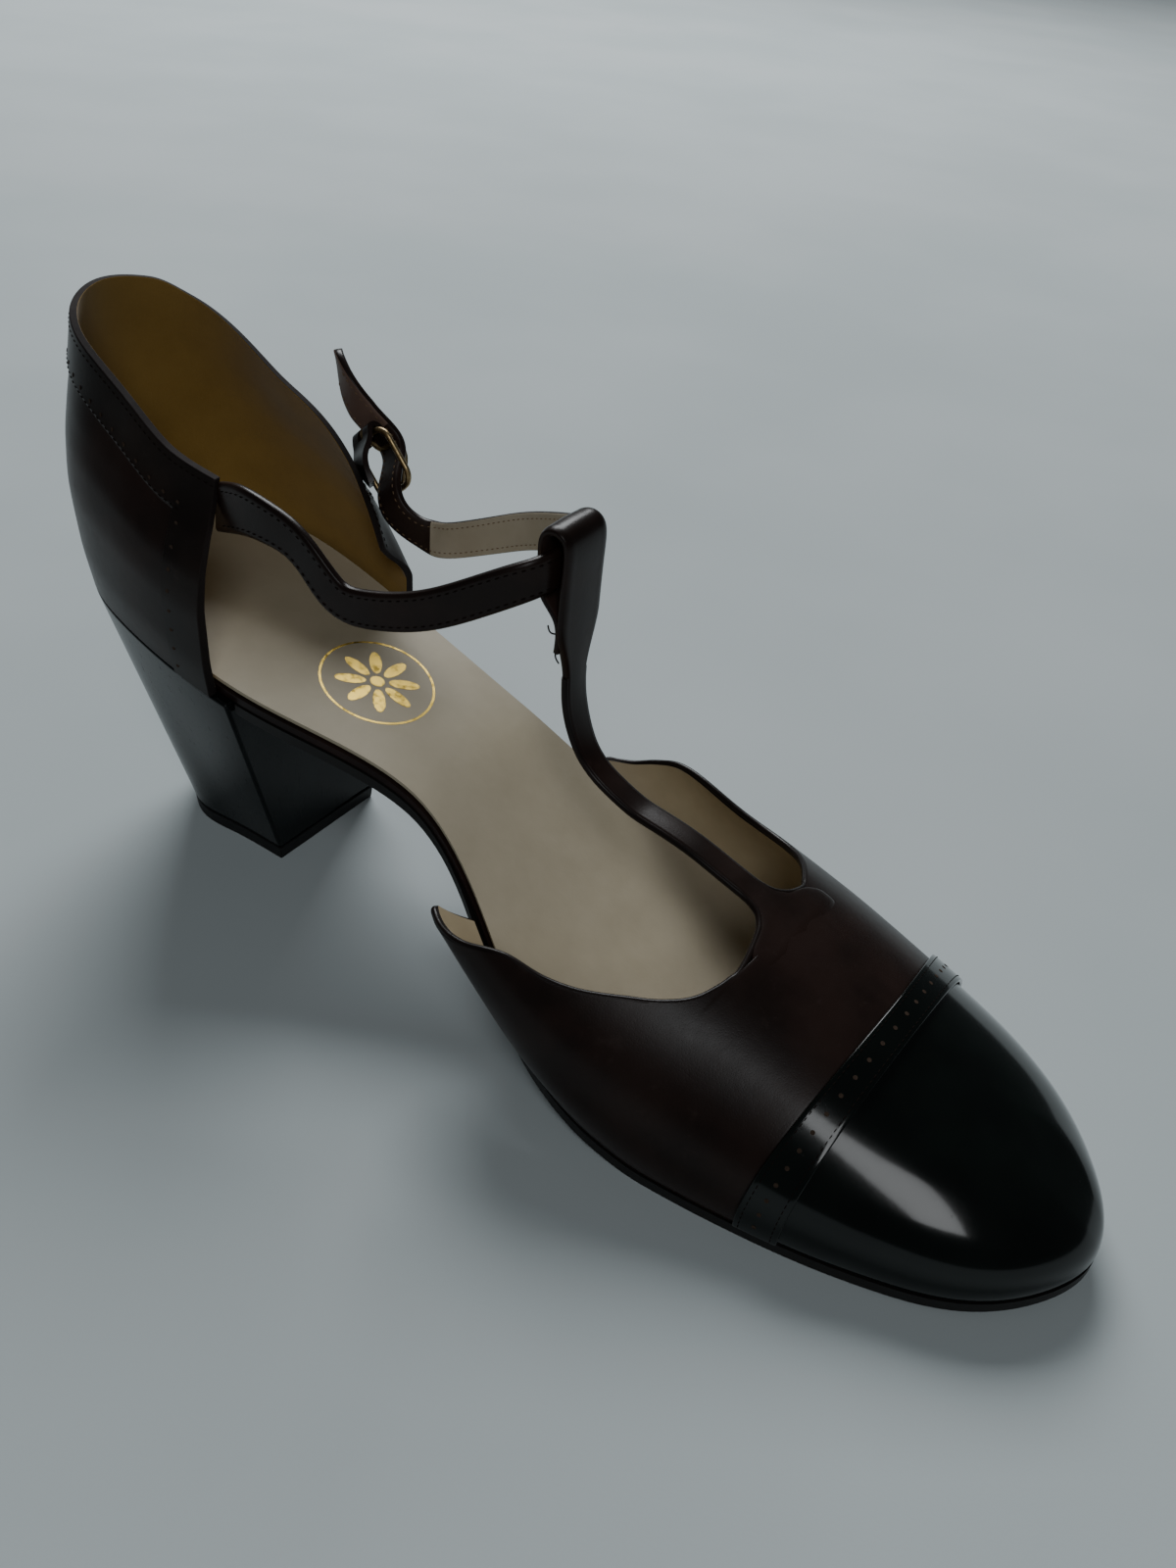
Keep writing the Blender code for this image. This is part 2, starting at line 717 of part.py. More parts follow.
def t_points():
    """Middle line of the T-strap: up the instep, over its loop and down to the end of the fold."""
    throat, top = THROAT * LENGTH, T_TOP * LENGTH
    deep = T_WALL / 2
    root = []
    for station in (T_ROOT * LENGTH, 0.5 * (T_ROOT + THROAT) * LENGTH):
        share = float(np.interp(station / LENGTH, column(RIDGE, 1), column(RIDGE, 0)))
        ridge = ridge_line(np.array([share]))[0][0]
        root.append((ridge[0], ridge[2] - deep - ROOT_SINK))
    rise = T_HEIGHT - INSTEP_HEIGHT
    shin = [(throat + (top - throat) * r[0], INSTEP_HEIGHT + rise * r[1]) for r in T_PATH]
    radius = (LOOP_INSIDE + T_WALL) / 2
    centre = (top - radius, T_HEIGHT - deep - radius)
    over = [(centre[0] + radius * math.cos(a), centre[1] + radius * math.sin(a))
            for a in np.radians([0, 45, 90, 135, 180])]
    drop = STRAP_WIDTH + 2 * GAP
    behind = top - T_WALL + 0.1
    fold = [(top - 2 * radius, centre[1] - 0.50 * drop), (top - 1.95 * radius, centre[1] - 0.95 * drop),
            (top - 1.5 * radius, centre[1] - 1.30 * drop), (behind, centre[1] - 1.75 * drop),
            (behind, centre[1] - 2.55 * drop)]
    return root + shin + over + fold


def t_widths(run):
    """Width of the T-strap: it spreads where it leaves the vamp, and again for its loop."""
    spread = follow(column(T_SPREAD, 0), column(T_SPREAD, 1) * T_WIDTH, run)
    loop = follow((0.0, 0.56, 0.66, 0.90, 1.0), (0.0, 0.0, 1.0, 1.0, 0.7), run)
    return spread + (LOOP_WIDTH - T_WIDTH) * loop


def make_t_strap(mats, home):
    flat = smooth_line(t_points(), np.linspace(0, 1, 73))
    path = np.column_stack([flat[:, 0], np.zeros(len(flat)), flat[:, 1]])
    run = np.linspace(0, 1, len(flat))
    widths, sag = t_widths(run), T_SAG * follow((0.0, 0.10, 0.20, 1.0), (1.0, 1.0, 0.0, 0.0), run)

    def surface(u, v):
        k = np.rint(u * (len(path) - 1)).astype(int)
        off = widths[k] * (v - 0.5)
        return path[k] + np.column_stack([np.zeros(len(k)), off, -sag[k] * off ** 2])

    bm = bent_grid(len(path) - 1, 4, surface)
    made = add_object("t_strap_joined_to_vamp", finish_mesh(bm, "t_strap"), mats["brown leather"], home)
    solid = made.modifiers.new("wall", "SOLIDIFY")
    solid.thickness = T_WALL * MM
    solid.offset = 0.0
    solid.use_even_offset = True
    return made


def make_toe_cap(mats, home):
    edge = CAP_SEAM + GAP / 2 / SIDE_LENGTH
    bm = bent_grid(42, 9, forepart_surface(edge, 1.0))
    bmesh.ops.recalc_face_normals(bm, faces=bm.faces)
    shell("toe_cap", bm, CAP_WALL, mats["black patent"], home, (0.88 * LENGTH, 0, 12))


def band_base(u, v):
    """Surface under the cap's band: u goes from one side of the sole over the ridge to the other."""
    outer, climb = fold_sides(u)
    share = CAP_SEAM + (CAP_BAND_FRONT - CAP_SEAM) * v
    up = BAND_START + (1 - BAND_START) * climb
    points = np.zeros((len(u), 3))
    for side, mask in ((-1, ~outer), (1, outer)):
        points[mask] = forepart(side, share[mask], up[mask])
    return points


def band_surface(u, v):
    """The band's outer face, lifted off the seam along the surface's own normals."""
    step = 0.002
    here = band_base(u, v)
    over = band_base(np.clip(u + step, 0, 1), v) - band_base(np.clip(u - step, 0, 1), v)
    ahead = band_base(u, np.clip(v + 0.1, 0, 1)) - band_base(u, np.clip(v - 0.1, 0, 1))
    normal = np.cross(over, ahead)
    normal /= np.linalg.norm(normal, axis=1)[:, None]
    core = np.column_stack([here[:, 0], np.zeros(len(u)), np.zeros(len(u))])
    facing = np.where(np.sum(normal * (here - core), axis=1) > 0, 1.0, -1.0)
    return here + normal * (facing * (GAP + BAND_WALL))[:, None]


def make_cap_band(mats, home):
    """Raised strip along the cap's rear edge, over the seam, from one side of the sole to the other."""
    bm = bent_grid(46, 3, band_surface)
    bmesh.ops.recalc_face_normals(bm, faces=bm.faces)
    shell("cap_band", bm, BAND_WALL, mats["black patent"], home, (CAP_BAND_FRONT * LENGTH, 0, 5))


def make_quarter(mats, home):
    """Quarter with its counter, and the collar band as a step in the wall."""
    around = float(np.linalg.norm(np.diff(quarter_foot(np.linspace(0, 1, 200))[0], axis=0), axis=1).sum())
    front, ramp = COLLAR_BAND / around, BAND_STEP / around
    marks = (0.0, front, front + ramp, 1 - front - ramp, 1 - front, 1.0)
    columns, low_rows, band_rows = 44, 8, 2
    rows = low_rows + band_rows + 1

    def surface(u, v):
        turn = np.rint(u * columns)
        share = np.interp(turn, (0, 2, 3, columns - 3, columns - 2, columns), marks)
        foot = quarter_foot(share)[0]
        low = bed_height(foot[:, 0]) - FEATHER_DROP
        tall = collar_height(share) - low
        edge = np.maximum(1 - COLLAR_BAND / tall, 0.15)
        row = np.rint(v * rows)
        step = BAND_STEP / tall
        band = edge + step + (1 - edge - step) * (row - low_rows - 1) / band_rows
        up = np.where(row <= low_rows, edge * row / low_rows, band)
        proud = np.where((row > low_rows) | (turn <= 2) | (turn >= columns - 2), BAND_STEP, 0.0)
        return quarter(share, up, proud)

    bm = bent_grid(columns, rows, surface)
    bmesh.ops.recalc_face_normals(bm, faces=bm.faces)
    shell("quarter", bm, UPPER_WALL, mats["brown leather"], home, (0.12 * LENGTH, 0, 0.75 * COLLAR_HEIGHT))


def strap_place(row):
    return np.array([row[0] * LENGTH, row[1] * BALL_WIDTH, row[2] * T_HEIGHT])


def buckle_frame_axes():
    """Middle of the buckle, and its directions along the strap, beside its plane and across it."""
    middle = strap_place(BUCKLE_PLACE)
    along = np.array([-math.cos(BUCKLE_LEAN), 0.05, math.sin(BUCKLE_LEAN)])
    along /= np.linalg.norm(along)
    beside = np.array([0.0, 1.0, 0.0]) - along * along[1]
    beside /= np.linalg.norm(beside)
    return middle, along, beside, np.cross(along, beside)


def strap_line():
    """Middle line and widths of the ankle strap, from its root to its free end."""
    middle, along, beside, across = buckle_frame_axes()
    rows = list(INNER_STRAP) + [LOOP_PLACE] + list(OUTER_STRAP)
    points = [strap_place(r) for r in rows]
    widths = [r[3] * STRAP_WIDTH for r in rows]
    for reach, off in STRAP_AT_BUCKLE:
        points.append(middle + FRAME_LENGTH * (reach * along + off * beside))
        widths.append(STRAP_WIDTH)
    widths[-1] = 0.75 * STRAP_WIDTH
    steps = np.linspace(0, 1, 77)
    line = smooth_line(np.column_stack([points, widths]), steps)
    return line[:, :3], line[:, 3]


def make_ankle_strap(mats, home, tools):
    path, widths = strap_line()
    along = np.gradient(path, axis=0)
    along /= np.linalg.norm(along, axis=1)[:, None]
    upright = np.array([0.0, 0.0, 1.0])
    lean = -buckle_frame_axes()[3]
    share = np.linspace(0, 1, len(path))
    turned = np.clip((share - 0.66) / 0.10, 0, 1)[:, None]
    wide = upright * (1 - turned) + lean * turned
    tail = np.clip((share - TAIL_START) / (1 - TAIL_START), 0, 1)[:, None]
    wide = wide * (1 - tail) + np.array(TAIL_WIDE) * tail
    wide = wide - along * np.sum(wide * along, axis=1)[:, None]
    wide /= np.linalg.norm(wide, axis=1)[:, None]
    strap = ribbon("ankle_strap", path, widths, wide, STRAP_WALL, mats["brown leather"], home)
    middle, way, beside, across = buckle_frame_axes()
    hole = bmesh.new()
    radius = PRONG / 2 + 2 * GAP
    bmesh.ops.create_cone(hole, cap_ends=True, segments=12, radius1=radius * MM, radius2=radius * MM,
                          depth=FRAME_LENGTH * MM)
    cutter = add_object("prong_hole", finish_mesh(hole, "prong_hole"), mats["brass"], tools)
    reach, off = PRONG_PATH[0]
    spot = middle + FRAME_LENGTH * (reach * way + STRAP_AT_BUCKLE[3][1] * beside)
    cutter.matrix_world = axes_matrix(spot, across, -way, beside)
    cut_with(strap, cutter)


def tube(name, points, thick, finish, home, closed=False):
    data = bpy.data.curves.new(name, "CURVE")
    data.dimensions = "3D"
    data.bevel_depth = thick / 2 * MM
    data.bevel_resolution = 2
    data.use_fill_caps = not closed
    line = data.splines.new("POLY")
    line.points.add(len(points) - 1)
    for point, co in zip(line.points, placed(points)):
        point.co = (*co, 1.0)
    line.use_cyclic_u = closed
    data.materials.append(finish)
    made = bpy.data.objects.new(name, data)
    home.objects.link(made)
    return made


def make_buckle_frame(mats, home):
    middle, along, beside, across = buckle_frame_axes()
    half_long = FRAME_LENGTH / 2
    half_wide = STRAP_WIDTH / 2 + BAR / 2 + FRAME_ROOM
    ring = []
    for sx, sy, first in ((1, 1, 0), (-1, 1, 90), (-1, -1, 180), (1, -1, 270)):
        for turn in np.radians(first + np.array([0, 30, 60, 90])):
            a = sx * (half_long - FRAME_CORNER) + FRAME_CORNER * math.cos(turn)
            b = sy * (half_wide - FRAME_CORNER) + FRAME_CORNER * math.sin(turn)
            ring.append(middle + a * along + b * across)
    tube("buckle_frame", ring, BAR, mats["brass"], home, closed=True)


def make_buckle_prong(mats, home):
    """Prong, hooked round the rear bar, up through the strap's hole and down on the front bar."""
    middle, along, beside, across = buckle_frame_axes()
    bar = middle + FRAME_LENGTH / 2 * along
    hook = BAR / 2 + GAP + PRONG / 2
    turns = np.radians([20, -20, -60, -100, -140, -180])
    points = [bar + hook * (math.cos(a) * along + math.sin(a) * beside) for a in turns]
    for reach, off in PRONG_PATH:
        points.append(middle + FRAME_LENGTH * (reach * along + off * beside))
    points.append(middle - FRAME_LENGTH / 2 * along + hook * beside)
    line = smooth_line(np.array(points), np.linspace(0, 1, 30))
    tube("buckle_prong", line, PRONG, mats["brass"], home)


def make_buckle_tab(mats, home, tools):
    """Leather tab: lies beside the quarter below the buckle, goes up to the rear bar and round it."""
    middle, along, beside, across = buckle_frame_axes()
    bar = middle + FRAME_LENGTH / 2 * along
    wrap = BAR / 2 + GAP + TAB_WALL / 2
    flat = [(FRAME_LENGTH * reach, FRAME_LENGTH * off) for reach, off in TAB_ROOT]
    flat += [(wrap * math.cos(a), wrap * math.sin(a)) for a in np.radians(np.arange(-60, 166, 28))]
    line = smooth_line(np.array(flat), np.linspace(0, 1, 41))
    path = bar + line[:, :1] * along + line[:, 1:] * beside
    tilt = TAB_TILT * np.clip(1 - np.linspace(0, 1, len(path)) / TAB_FLAT_SHARE, 0, 1)[:, None]
    wide = across * np.cos(tilt) + beside * np.sin(tilt)
    widths = np.full(len(path), TAB_WIDTH)
    tab = ribbon("buckle_tab", path, widths, wide, TAB_WALL, mats["brown leather"], home)
    slot = bmesh.new()
    bmesh.ops.create_cube(slot, size=1.0)
    reach = 2 * (wrap + TAB_WALL)
    bmesh.ops.scale(slot, vec=(reach * MM, reach * MM, (PRONG + 2 * GAP) * MM), verts=slot.verts)
    cutter = add_object("prong_slot", finish_mesh(slot, "prong_slot"), mats["brass"], tools)
    cutter.matrix_world = axes_matrix(bar, along, beside, across)
    cut_with(tab, cutter)


def axes_matrix(middle, along, beside, across):
    """Places an object so that its X, Y and Z follow three directions."""
    place = placed(middle)
    return mathutils.Matrix([(*row, place[k]) for k, row in enumerate(np.column_stack([along, beside, across]))]
                            + [(0, 0, 0, 1)])


def cut_with(made, cutter):
    cutter.hide_render = True
    cutter.display_type = "WIRE"
    cut = made.modifiers.new(cutter.name, "BOOLEAN")
    cut.operation = "DIFFERENCE"
    cut.object = cutter


def make_part():
    for old in list(bpy.data.objects):
        bpy.data.objects.remove(old, do_unlink=True)
    home, tools = collection("t_strap_shoe"), collection("cutters")
    mats = make_materials()
    make_sock(mats, home)
    make_insole(mats, home)
    make_outsole(mats, home)
    make_heel(mats, home)
    make_vamp(mats, home, tools)
    make_toe_cap(mats, home)
    make_cap_band(mats, home)
    make_quarter(mats, home)
    make_ankle_strap(mats, home, tools)
    make_buckle_frame(mats, home)
    make_buckle_prong(mats, home)
    make_buckle_tab(mats, home, tools)


make_part()
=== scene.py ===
"""Looks of a left T-strap shoe with a block heel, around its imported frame.

Forms are worked out in millimetres and MM turns them into metres, as in the part's source.
A station is a distance along the shoe from the rear of the seat, towards the toe.
X runs to the toe, Y to the outer side of the foot and Z up; the origin is under the heel.
"""
import math

import bmesh
import bpy
import mathutils
import numpy as np
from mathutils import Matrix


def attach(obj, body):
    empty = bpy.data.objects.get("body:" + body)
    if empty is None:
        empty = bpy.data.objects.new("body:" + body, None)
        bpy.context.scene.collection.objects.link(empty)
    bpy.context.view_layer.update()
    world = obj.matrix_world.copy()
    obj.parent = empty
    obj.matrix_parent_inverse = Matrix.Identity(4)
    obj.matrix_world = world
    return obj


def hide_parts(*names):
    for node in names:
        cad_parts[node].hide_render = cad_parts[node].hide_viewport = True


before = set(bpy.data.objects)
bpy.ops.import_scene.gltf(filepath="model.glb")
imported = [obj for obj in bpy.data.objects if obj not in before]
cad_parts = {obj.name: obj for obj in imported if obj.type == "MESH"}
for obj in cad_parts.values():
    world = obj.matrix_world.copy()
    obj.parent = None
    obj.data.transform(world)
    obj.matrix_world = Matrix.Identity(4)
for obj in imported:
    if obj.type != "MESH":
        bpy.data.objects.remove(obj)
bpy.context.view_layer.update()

MM = 0.001

# Driving dimensions
LENGTH = 240.0
BALL_WIDTH = 76.0
SEAT_HEIGHT = 62.5
INSTEP_HEIGHT = 40.5
COLLAR_HEIGHT = 113.8
T_HEIGHT = 100.3
TOE_SPRING = 3.0

# Thicknesses and clearances
OUTSOLE = 2.2
INSOLE = 1.6
SOCK = 0.8
UPPER_WALL = 1.6
CAP_WALL = 1.8
BAND_WALL = 0.8
STRAP_WALL = 1.8
T_WALL = 1.4
TOP_PIECE = 3.2
GAP = 0.3
SOLE_MARGIN = 0.2
WAIST_TUCK = 2.0
SOCK_MARGIN = 0.8
BAND_STEP = 0.6

# Heel block
BREAST = 57.0
TIP_REAR = 17.0
TIP_FRONT = 55.5
TIP_WIDTH = 31.0
TIP_MARGIN = 0.3

# Ankle strap, T-strap and buckle
STRAP_WIDTH = 7.6
T_WIDTH = 6.0
LOOP_WIDTH = 12.0
LOOP_INSIDE = 3.8
BAR = 1.3
FRAME_LENGTH = 13.0
FRAME_CORNER = 3.0
FRAME_ROOM = 1.0

ORIGIN = ((TIP_REAR + TIP_FRONT) / 2, 0.0, 0.0)
STACK = OUTSOLE + INSOLE + SOCK + 2 * GAP
FEATHER_DROP = INSOLE + SOCK + GAP

# Feather line: station as a share of LENGTH, inner and outer reach as shares of BALL_WIDTH
FEATHER = (
    (0.033, 0.237, 0.242), (0.104, 0.349, 0.349), (0.249, 0.359, 0.349), (0.394, 0.253, 0.327),
    (0.48, 0.325, 0.375), (0.56, 0.455, 0.425), (0.625, 0.505, 0.462), (0.7, 0.515, 0.478),
    (0.795, 0.49, 0.425), (0.875, 0.445, 0.34), (0.938, 0.375, 0.215), (0.982, 0.25, 0.05),
)
TOE_ACROSS = -0.105

# Foot bed: station share of LENGTH, share of the seat's rise, share of TOE_SPRING
BED = (
    (0.0, 1.0, 0.0), (0.104, 0.946, 0.0), (0.249, 0.8, 0.0), (0.394, 0.61, 0.0), (0.47, 0.425, 0.0),
    (0.539, 0.245, 0.0), (0.6, 0.11, 0.0), (0.65, 0.03, 0.0), (0.7, 0.0, 0.0), (0.8, 0.0, 0.0),
    (0.892, 0.0, 0.25), (1.0, 0.0, 1.0),
)

# How far the outsole is drawn in: station share of LENGTH, share of WAIST_TUCK
WAIST = (
    (0.0, 1.0), (0.43, 1.0), (0.56, 0.25), (0.62, 0.0), (1.0, 0.0),
)

# Ridge of the forepart: share of the side's length, station share of LENGTH,
# place across as a share of BALL_WIDTH, height as a share of INSTEP_HEIGHT
RIDGE = (
    (0.0, 0.468, 0.0, 1.63), (0.1, 0.53, 0.0, 1.42), (0.2, 0.6, 0.0, 1.2), (0.33, 0.689, 0.0, 1.0),
    (0.535, 0.806, -0.02, 0.776), (0.7, 0.865, -0.04, 0.671), (0.85, 0.901, -0.055, 0.604),
    (1.0, 0.917, -0.06, 0.575),
)

# Rear end of each wing, as a station share of LENGTH
WING_START = {-1: 0.469, 1: 0.467}

# How the side walls leave the feather line: share of the side's length, lean outwards, reach up
WALL = {
    -1: ((0.0, 1.75, 1.05), (0.1, 1.1, 0.95), (0.25, 0.65, 0.72), (0.5, 0.24, 0.58), (1.0, 0.3, 0.58)),
    1: ((0.0, 0.8, 0.75), (0.12, 0.45, 0.72), (0.25, 0.22, 0.64), (0.5, 0.18, 0.58), (1.0, 0.28, 0.58)),
}
CROWN_REACH = 0.55

# Topline of each wing and of the throat: share of the side's length, share of the way up to the ridge
TOPLINE = {
    -1: ((0.037, 0.1), (0.08, 0.16), (0.13, 0.25), (0.185, 0.371), (0.218, 0.401), (0.249, 0.438),
         (0.298, 0.518), (0.334, 0.579), (0.354, 0.632), (0.365, 0.7), (0.37, 0.78), (0.371, 0.88),
         (0.372, 1.0)),
    1: ((0.0, 0.035), (0.039, 0.087), (0.08, 0.171), (0.123, 0.268), (0.18, 0.355), (0.233, 0.41),
        (0.283, 0.485), (0.325, 0.61), (0.347, 0.75), (0.358, 0.87), (0.362, 1.0)),
}
# Share of the side's length at which each wing's upper begins, and where it stops shifting the grid
WING_CORNER = {-1: 0.037, 1: 0.0}
WING_EASE = 0.25
# Length of a side of the forepart, and the cap's seam and band as shares of it
SIDE_LENGTH = 0.6 * LENGTH
CAP_SEAM = 0.535
CAP_BAND_FRONT = 0.592
BAND_START = 0.02

# Quarter: share of the way round from the inner front edge, collar height as a share of COLLAR_HEIGHT
QUARTER_ENDS = (0.223, 0.242)
COLLAR = (
    (0.0, 0.824), (0.083, 0.844), (0.177, 0.896), (0.3, 0.954), (0.4, 0.986), (0.49, 1.0), (0.56, 0.991),
    (0.62, 0.958), (0.7, 0.905), (0.777, 0.854), (0.883, 0.789), (0.937, 0.729), (0.975, 0.65), (1.0, 0.58),
)
# Quarter's swell as a share of BALL_WIDTH: share of the height, at the rear, at the sides
SWELL = (
    (0.0, 0.0, 0.0), (0.2, 0.026, 0.01), (0.4, 0.039, 0.01), (0.57, 0.037, -0.006), (0.7, 0.029, -0.034),
    (0.85, 0.013, -0.072), (1.0, -0.004, -0.101),
)
COLLAR_BAND = 9.0

# T-strap: share of the way back from the throat, share of the way up from the instep
T_PATH = (
    (0.07, 0.004), (0.196, 0.034), (0.311, 0.062), (0.435, 0.084), (0.56, 0.099), (0.64, 0.112),
    (0.782, 0.158), (0.846, 0.189), (0.902, 0.232), (0.951, 0.299), (0.984, 0.373), (1.0, 0.447),
    (1.004, 0.56), (1.004, 0.705), (1.0, 0.86),
)
# T-strap's width: share of its own length, share of T_WIDTH; and how far its root bends down at the sides
T_SPREAD = (
    (0.0, 3.6), (0.06, 3.6), (0.076, 3.2), (0.09, 1.9), (0.106, 1.2), (0.136, 0.92), (0.4, 0.9),
    (0.52, 1.05), (1.0, 1.0),
)
T_SAG = 0.0118
ROOT_SINK = 0.1
THROAT = 0.6875
T_TOP = 0.502
T_ROOT = 0.74

# Ankle strap, loop side to side: station share of LENGTH, across share of BALL_WIDTH,
# height share of T_HEIGHT and width share of STRAP_WIDTH
INNER_STRAP = (
    (0.227, -0.268, 0.883, 1.37), (0.25, -0.281, 0.898, 1.32), (0.275, -0.287, 0.898, 1.2),
    (0.303, -0.286, 0.881, 1.05), (0.327, -0.287, 0.838, 1.0), (0.347, -0.282, 0.801, 1.0),
    (0.375, -0.27, 0.802, 1.0), (0.413, -0.237, 0.825, 1.0), (0.448, -0.19, 0.866, 1.0),
    (0.475, -0.14, 0.902, 1.0), (0.487, -0.092, 0.916, 1.0),
)
LOOP_PLACE = (0.4915, 0.0, 0.925, 1.0)
OUTER_STRAP = (
    (0.487, 0.095, 0.922, 1.0), (0.472, 0.155, 0.905, 1.0), (0.438, 0.22, 0.868, 1.0),
    (0.391, 0.277, 0.817, 1.0), (0.355, 0.302, 0.773, 1.0), (0.323, 0.312, 0.735, 1.0),
    (0.292, 0.322, 0.702, 1.0), (0.266, 0.334, 0.69, 1.0),
)

# Buckle: its middle, then the strap beside it as multiples of its length along and beside its plane
BUCKLE_PLACE = (0.207, 0.372, 0.8)
BUCKLE_LEAN = math.radians(47.0)
STRAP_AT_BUCKLE = (
    (-0.9, -0.26), (-0.5, -0.22), (-0.12, 0.12), (0.16, 0.35), (0.48, 0.33), (0.9, 0.18), (1.45, 0.16),
    (2.0, 0.34),
)
# Where the strap's free end starts to turn on edge, and the direction of its width at the tip
TAIL_START = 0.93
TAIL_WIDE = (0.49, -0.69, 0.51)


def slopes(xs, ys):
    """Slopes at a table's rows for a curve that never overshoots them."""
    h, d = np.diff(xs), np.diff(ys) / np.diff(xs)
    m = np.zeros(len(xs))
    for i in range(1, len(xs) - 1):
        if d[i - 1] * d[i] > 0:
            a, b = 2 * h[i] + h[i - 1], h[i] + 2 * h[i - 1]
            m[i] = (a + b) / (a / d[i - 1] + b / d[i])
    m[0], m[-1] = d[0], d[-1]
    return m


def follow(xs, ys, at):
    """Smooth curve through a table's rows, read at any places."""
    xs, ys = np.asarray(xs, float), np.asarray(ys, float)
    at = np.clip(at, xs[0], xs[-1])
    k = np.clip(np.searchsorted(xs, at, side="right") - 1, 0, len(xs) - 2)
    h, m = xs[k + 1] - xs[k], slopes(xs, ys)
    s = (at - xs[k]) / h
    rise = s * s * (3 - 2 * s)
    return (1 - rise) * ys[k] + rise * ys[k + 1] + h * s * (1 - s) * ((1 - s) * m[k] - s * m[k + 1])


def column(table, index):
    return np.array([row[index] for row in table])


def read(table, index, at):
    """A column of a table against its first one, read at any places."""
    return follow(column(table, 0), column(table, index), at)


def unit(rows):
    return rows / np.linalg.norm(rows, axis=-1, keepdims=True)


def directions(path):
    return unit(np.gradient(path, axis=0))


def sideways(along):
    """Directions across the flat ones given, to their left."""
    return np.stack([-along[:, 1], along[:, 0]], -1)


def lengths(curve):
    """How far along a line each of its points lies."""
    return np.concatenate([[0], np.cumsum(np.linalg.norm(np.diff(curve, axis=0), axis=1))])


def smooth_line(points, shares, closed=False):
    """Cubic curve with even curvature through a few points, read at shares of its length."""
    p = np.asarray(points, float)
    if closed:
        p = np.vstack([p, p[:1]])
    n = len(p)
    knots = np.concatenate([[0], np.cumsum(np.sqrt(np.linalg.norm(np.diff(p, axis=0), axis=1)))])
    h = np.diff(knots)
    d = np.diff(p, axis=0) / h[:, None]
    a, b = np.zeros((n, n)), np.zeros_like(p)
    for i in range(1, n - 1):
        a[i, i - 1:i + 2] = h[i - 1], 2 * (h[i - 1] + h[i]), h[i]
        b[i] = 6 * (d[i] - d[i - 1])
    a[0, 0] = a[-1, -1] = 1
    if closed:
        a[0, :2] = 2 * (h[0] + h[-1]), h[0]
        a[0, n - 2] = h[-1]
        b[0] = 6 * (d[0] - d[-1])
        a[-1, 0] = -1
    bend = np.linalg.solve(a, b)
    fine = np.linspace(0, knots[-1], 4001)
    k = np.clip(np.searchsorted(knots, fine, side="right") - 1, 0, n - 2)
    left, right, width = (knots[k + 1] - fine)[:, None], (fine - knots[k])[:, None], h[k][:, None]
    curve = ((bend[k] * left ** 3 + bend[k + 1] * right ** 3) / (6 * width)
             + (p[k] / width - bend[k] * width / 6) * left
             + (p[k + 1] / width - bend[k + 1] * width / 6) * right)
    return at_shares(curve, shares)


def at_shares(curve, shares):
    run = lengths(curve)
    at = np.asarray(shares, float) * run[-1]
    return np.stack([np.interp(at, run, across) for across in curve.T], -1)


def feather_sides():
    """The feather line's outer and inner halves, each from the seat's rear to the toe."""
    outer = [(r[0] * LENGTH, r[2] * BALL_WIDTH) for r in FEATHER]
    inner = [(r[0] * LENGTH, -r[1] * BALL_WIDTH) for r in FEATHER]
    ring = [(0, 0)] + outer + [(LENGTH, TOE_ACROSS * BALL_WIDTH)] + inner[::-1]
    fine = smooth_line(ring, np.linspace(0, 1, 2401), closed=True)
    tip = int(np.argmax(fine[:, 0]))
    return {1: fine[:tip + 1], -1: fine[tip:][::-1]}


SIDES = feather_sides()


def inset_side(side, inset):
    """One half of the feather line, moved inwards by a distance."""
    half = SIDES[side]
    moved = half - sideways(directions(half)) * side * inset
    moved[0, 1] = moved[-1, 1] = 0
    moved[0], moved[-1] = half[0] + (inset, 0), half[-1] - (inset, 0)
    return moved


def bed_height(station):
    """Top of the sock over the floor."""
    share = station / LENGTH
    return STACK + (SEAT_HEIGHT - STACK) * read(BED, 1, share) + TOE_SPRING * read(BED, 2, share)


def side_line(side, start, shares):
    """Points and outward directions of one side's feather line, from a station to the toe."""
    half = SIDES[side]
    first = [start, np.interp(start, half[:, 0], half[:, 1])]
    line = np.vstack([[first], half[half[:, 0] > start]])
    run = lengths(line)
    turn = np.stack([np.interp(shares * run[-1], run, way) for way in directions(line).T], -1)
    return at_shares(line, shares), sideways(unit(turn)) * side


def ridge_line(share):
    """Ridge of the forepart, and its slope."""
    xs, zs = column(RIDGE, 1) * LENGTH, column(RIDGE, 3) * INSTEP_HEIGHT
    line = np.stack([read(RIDGE, k, share) for k in (1, 2, 3)], -1) * (LENGTH, BALL_WIDTH, INSTEP_HEIGHT)
    before, after = np.maximum(line[:, 0] - 1, xs[0]), np.minimum(line[:, 0] + 1, xs[-1])
    return line, (follow(xs, zs, after) - follow(xs, zs, before)) / (after - before)


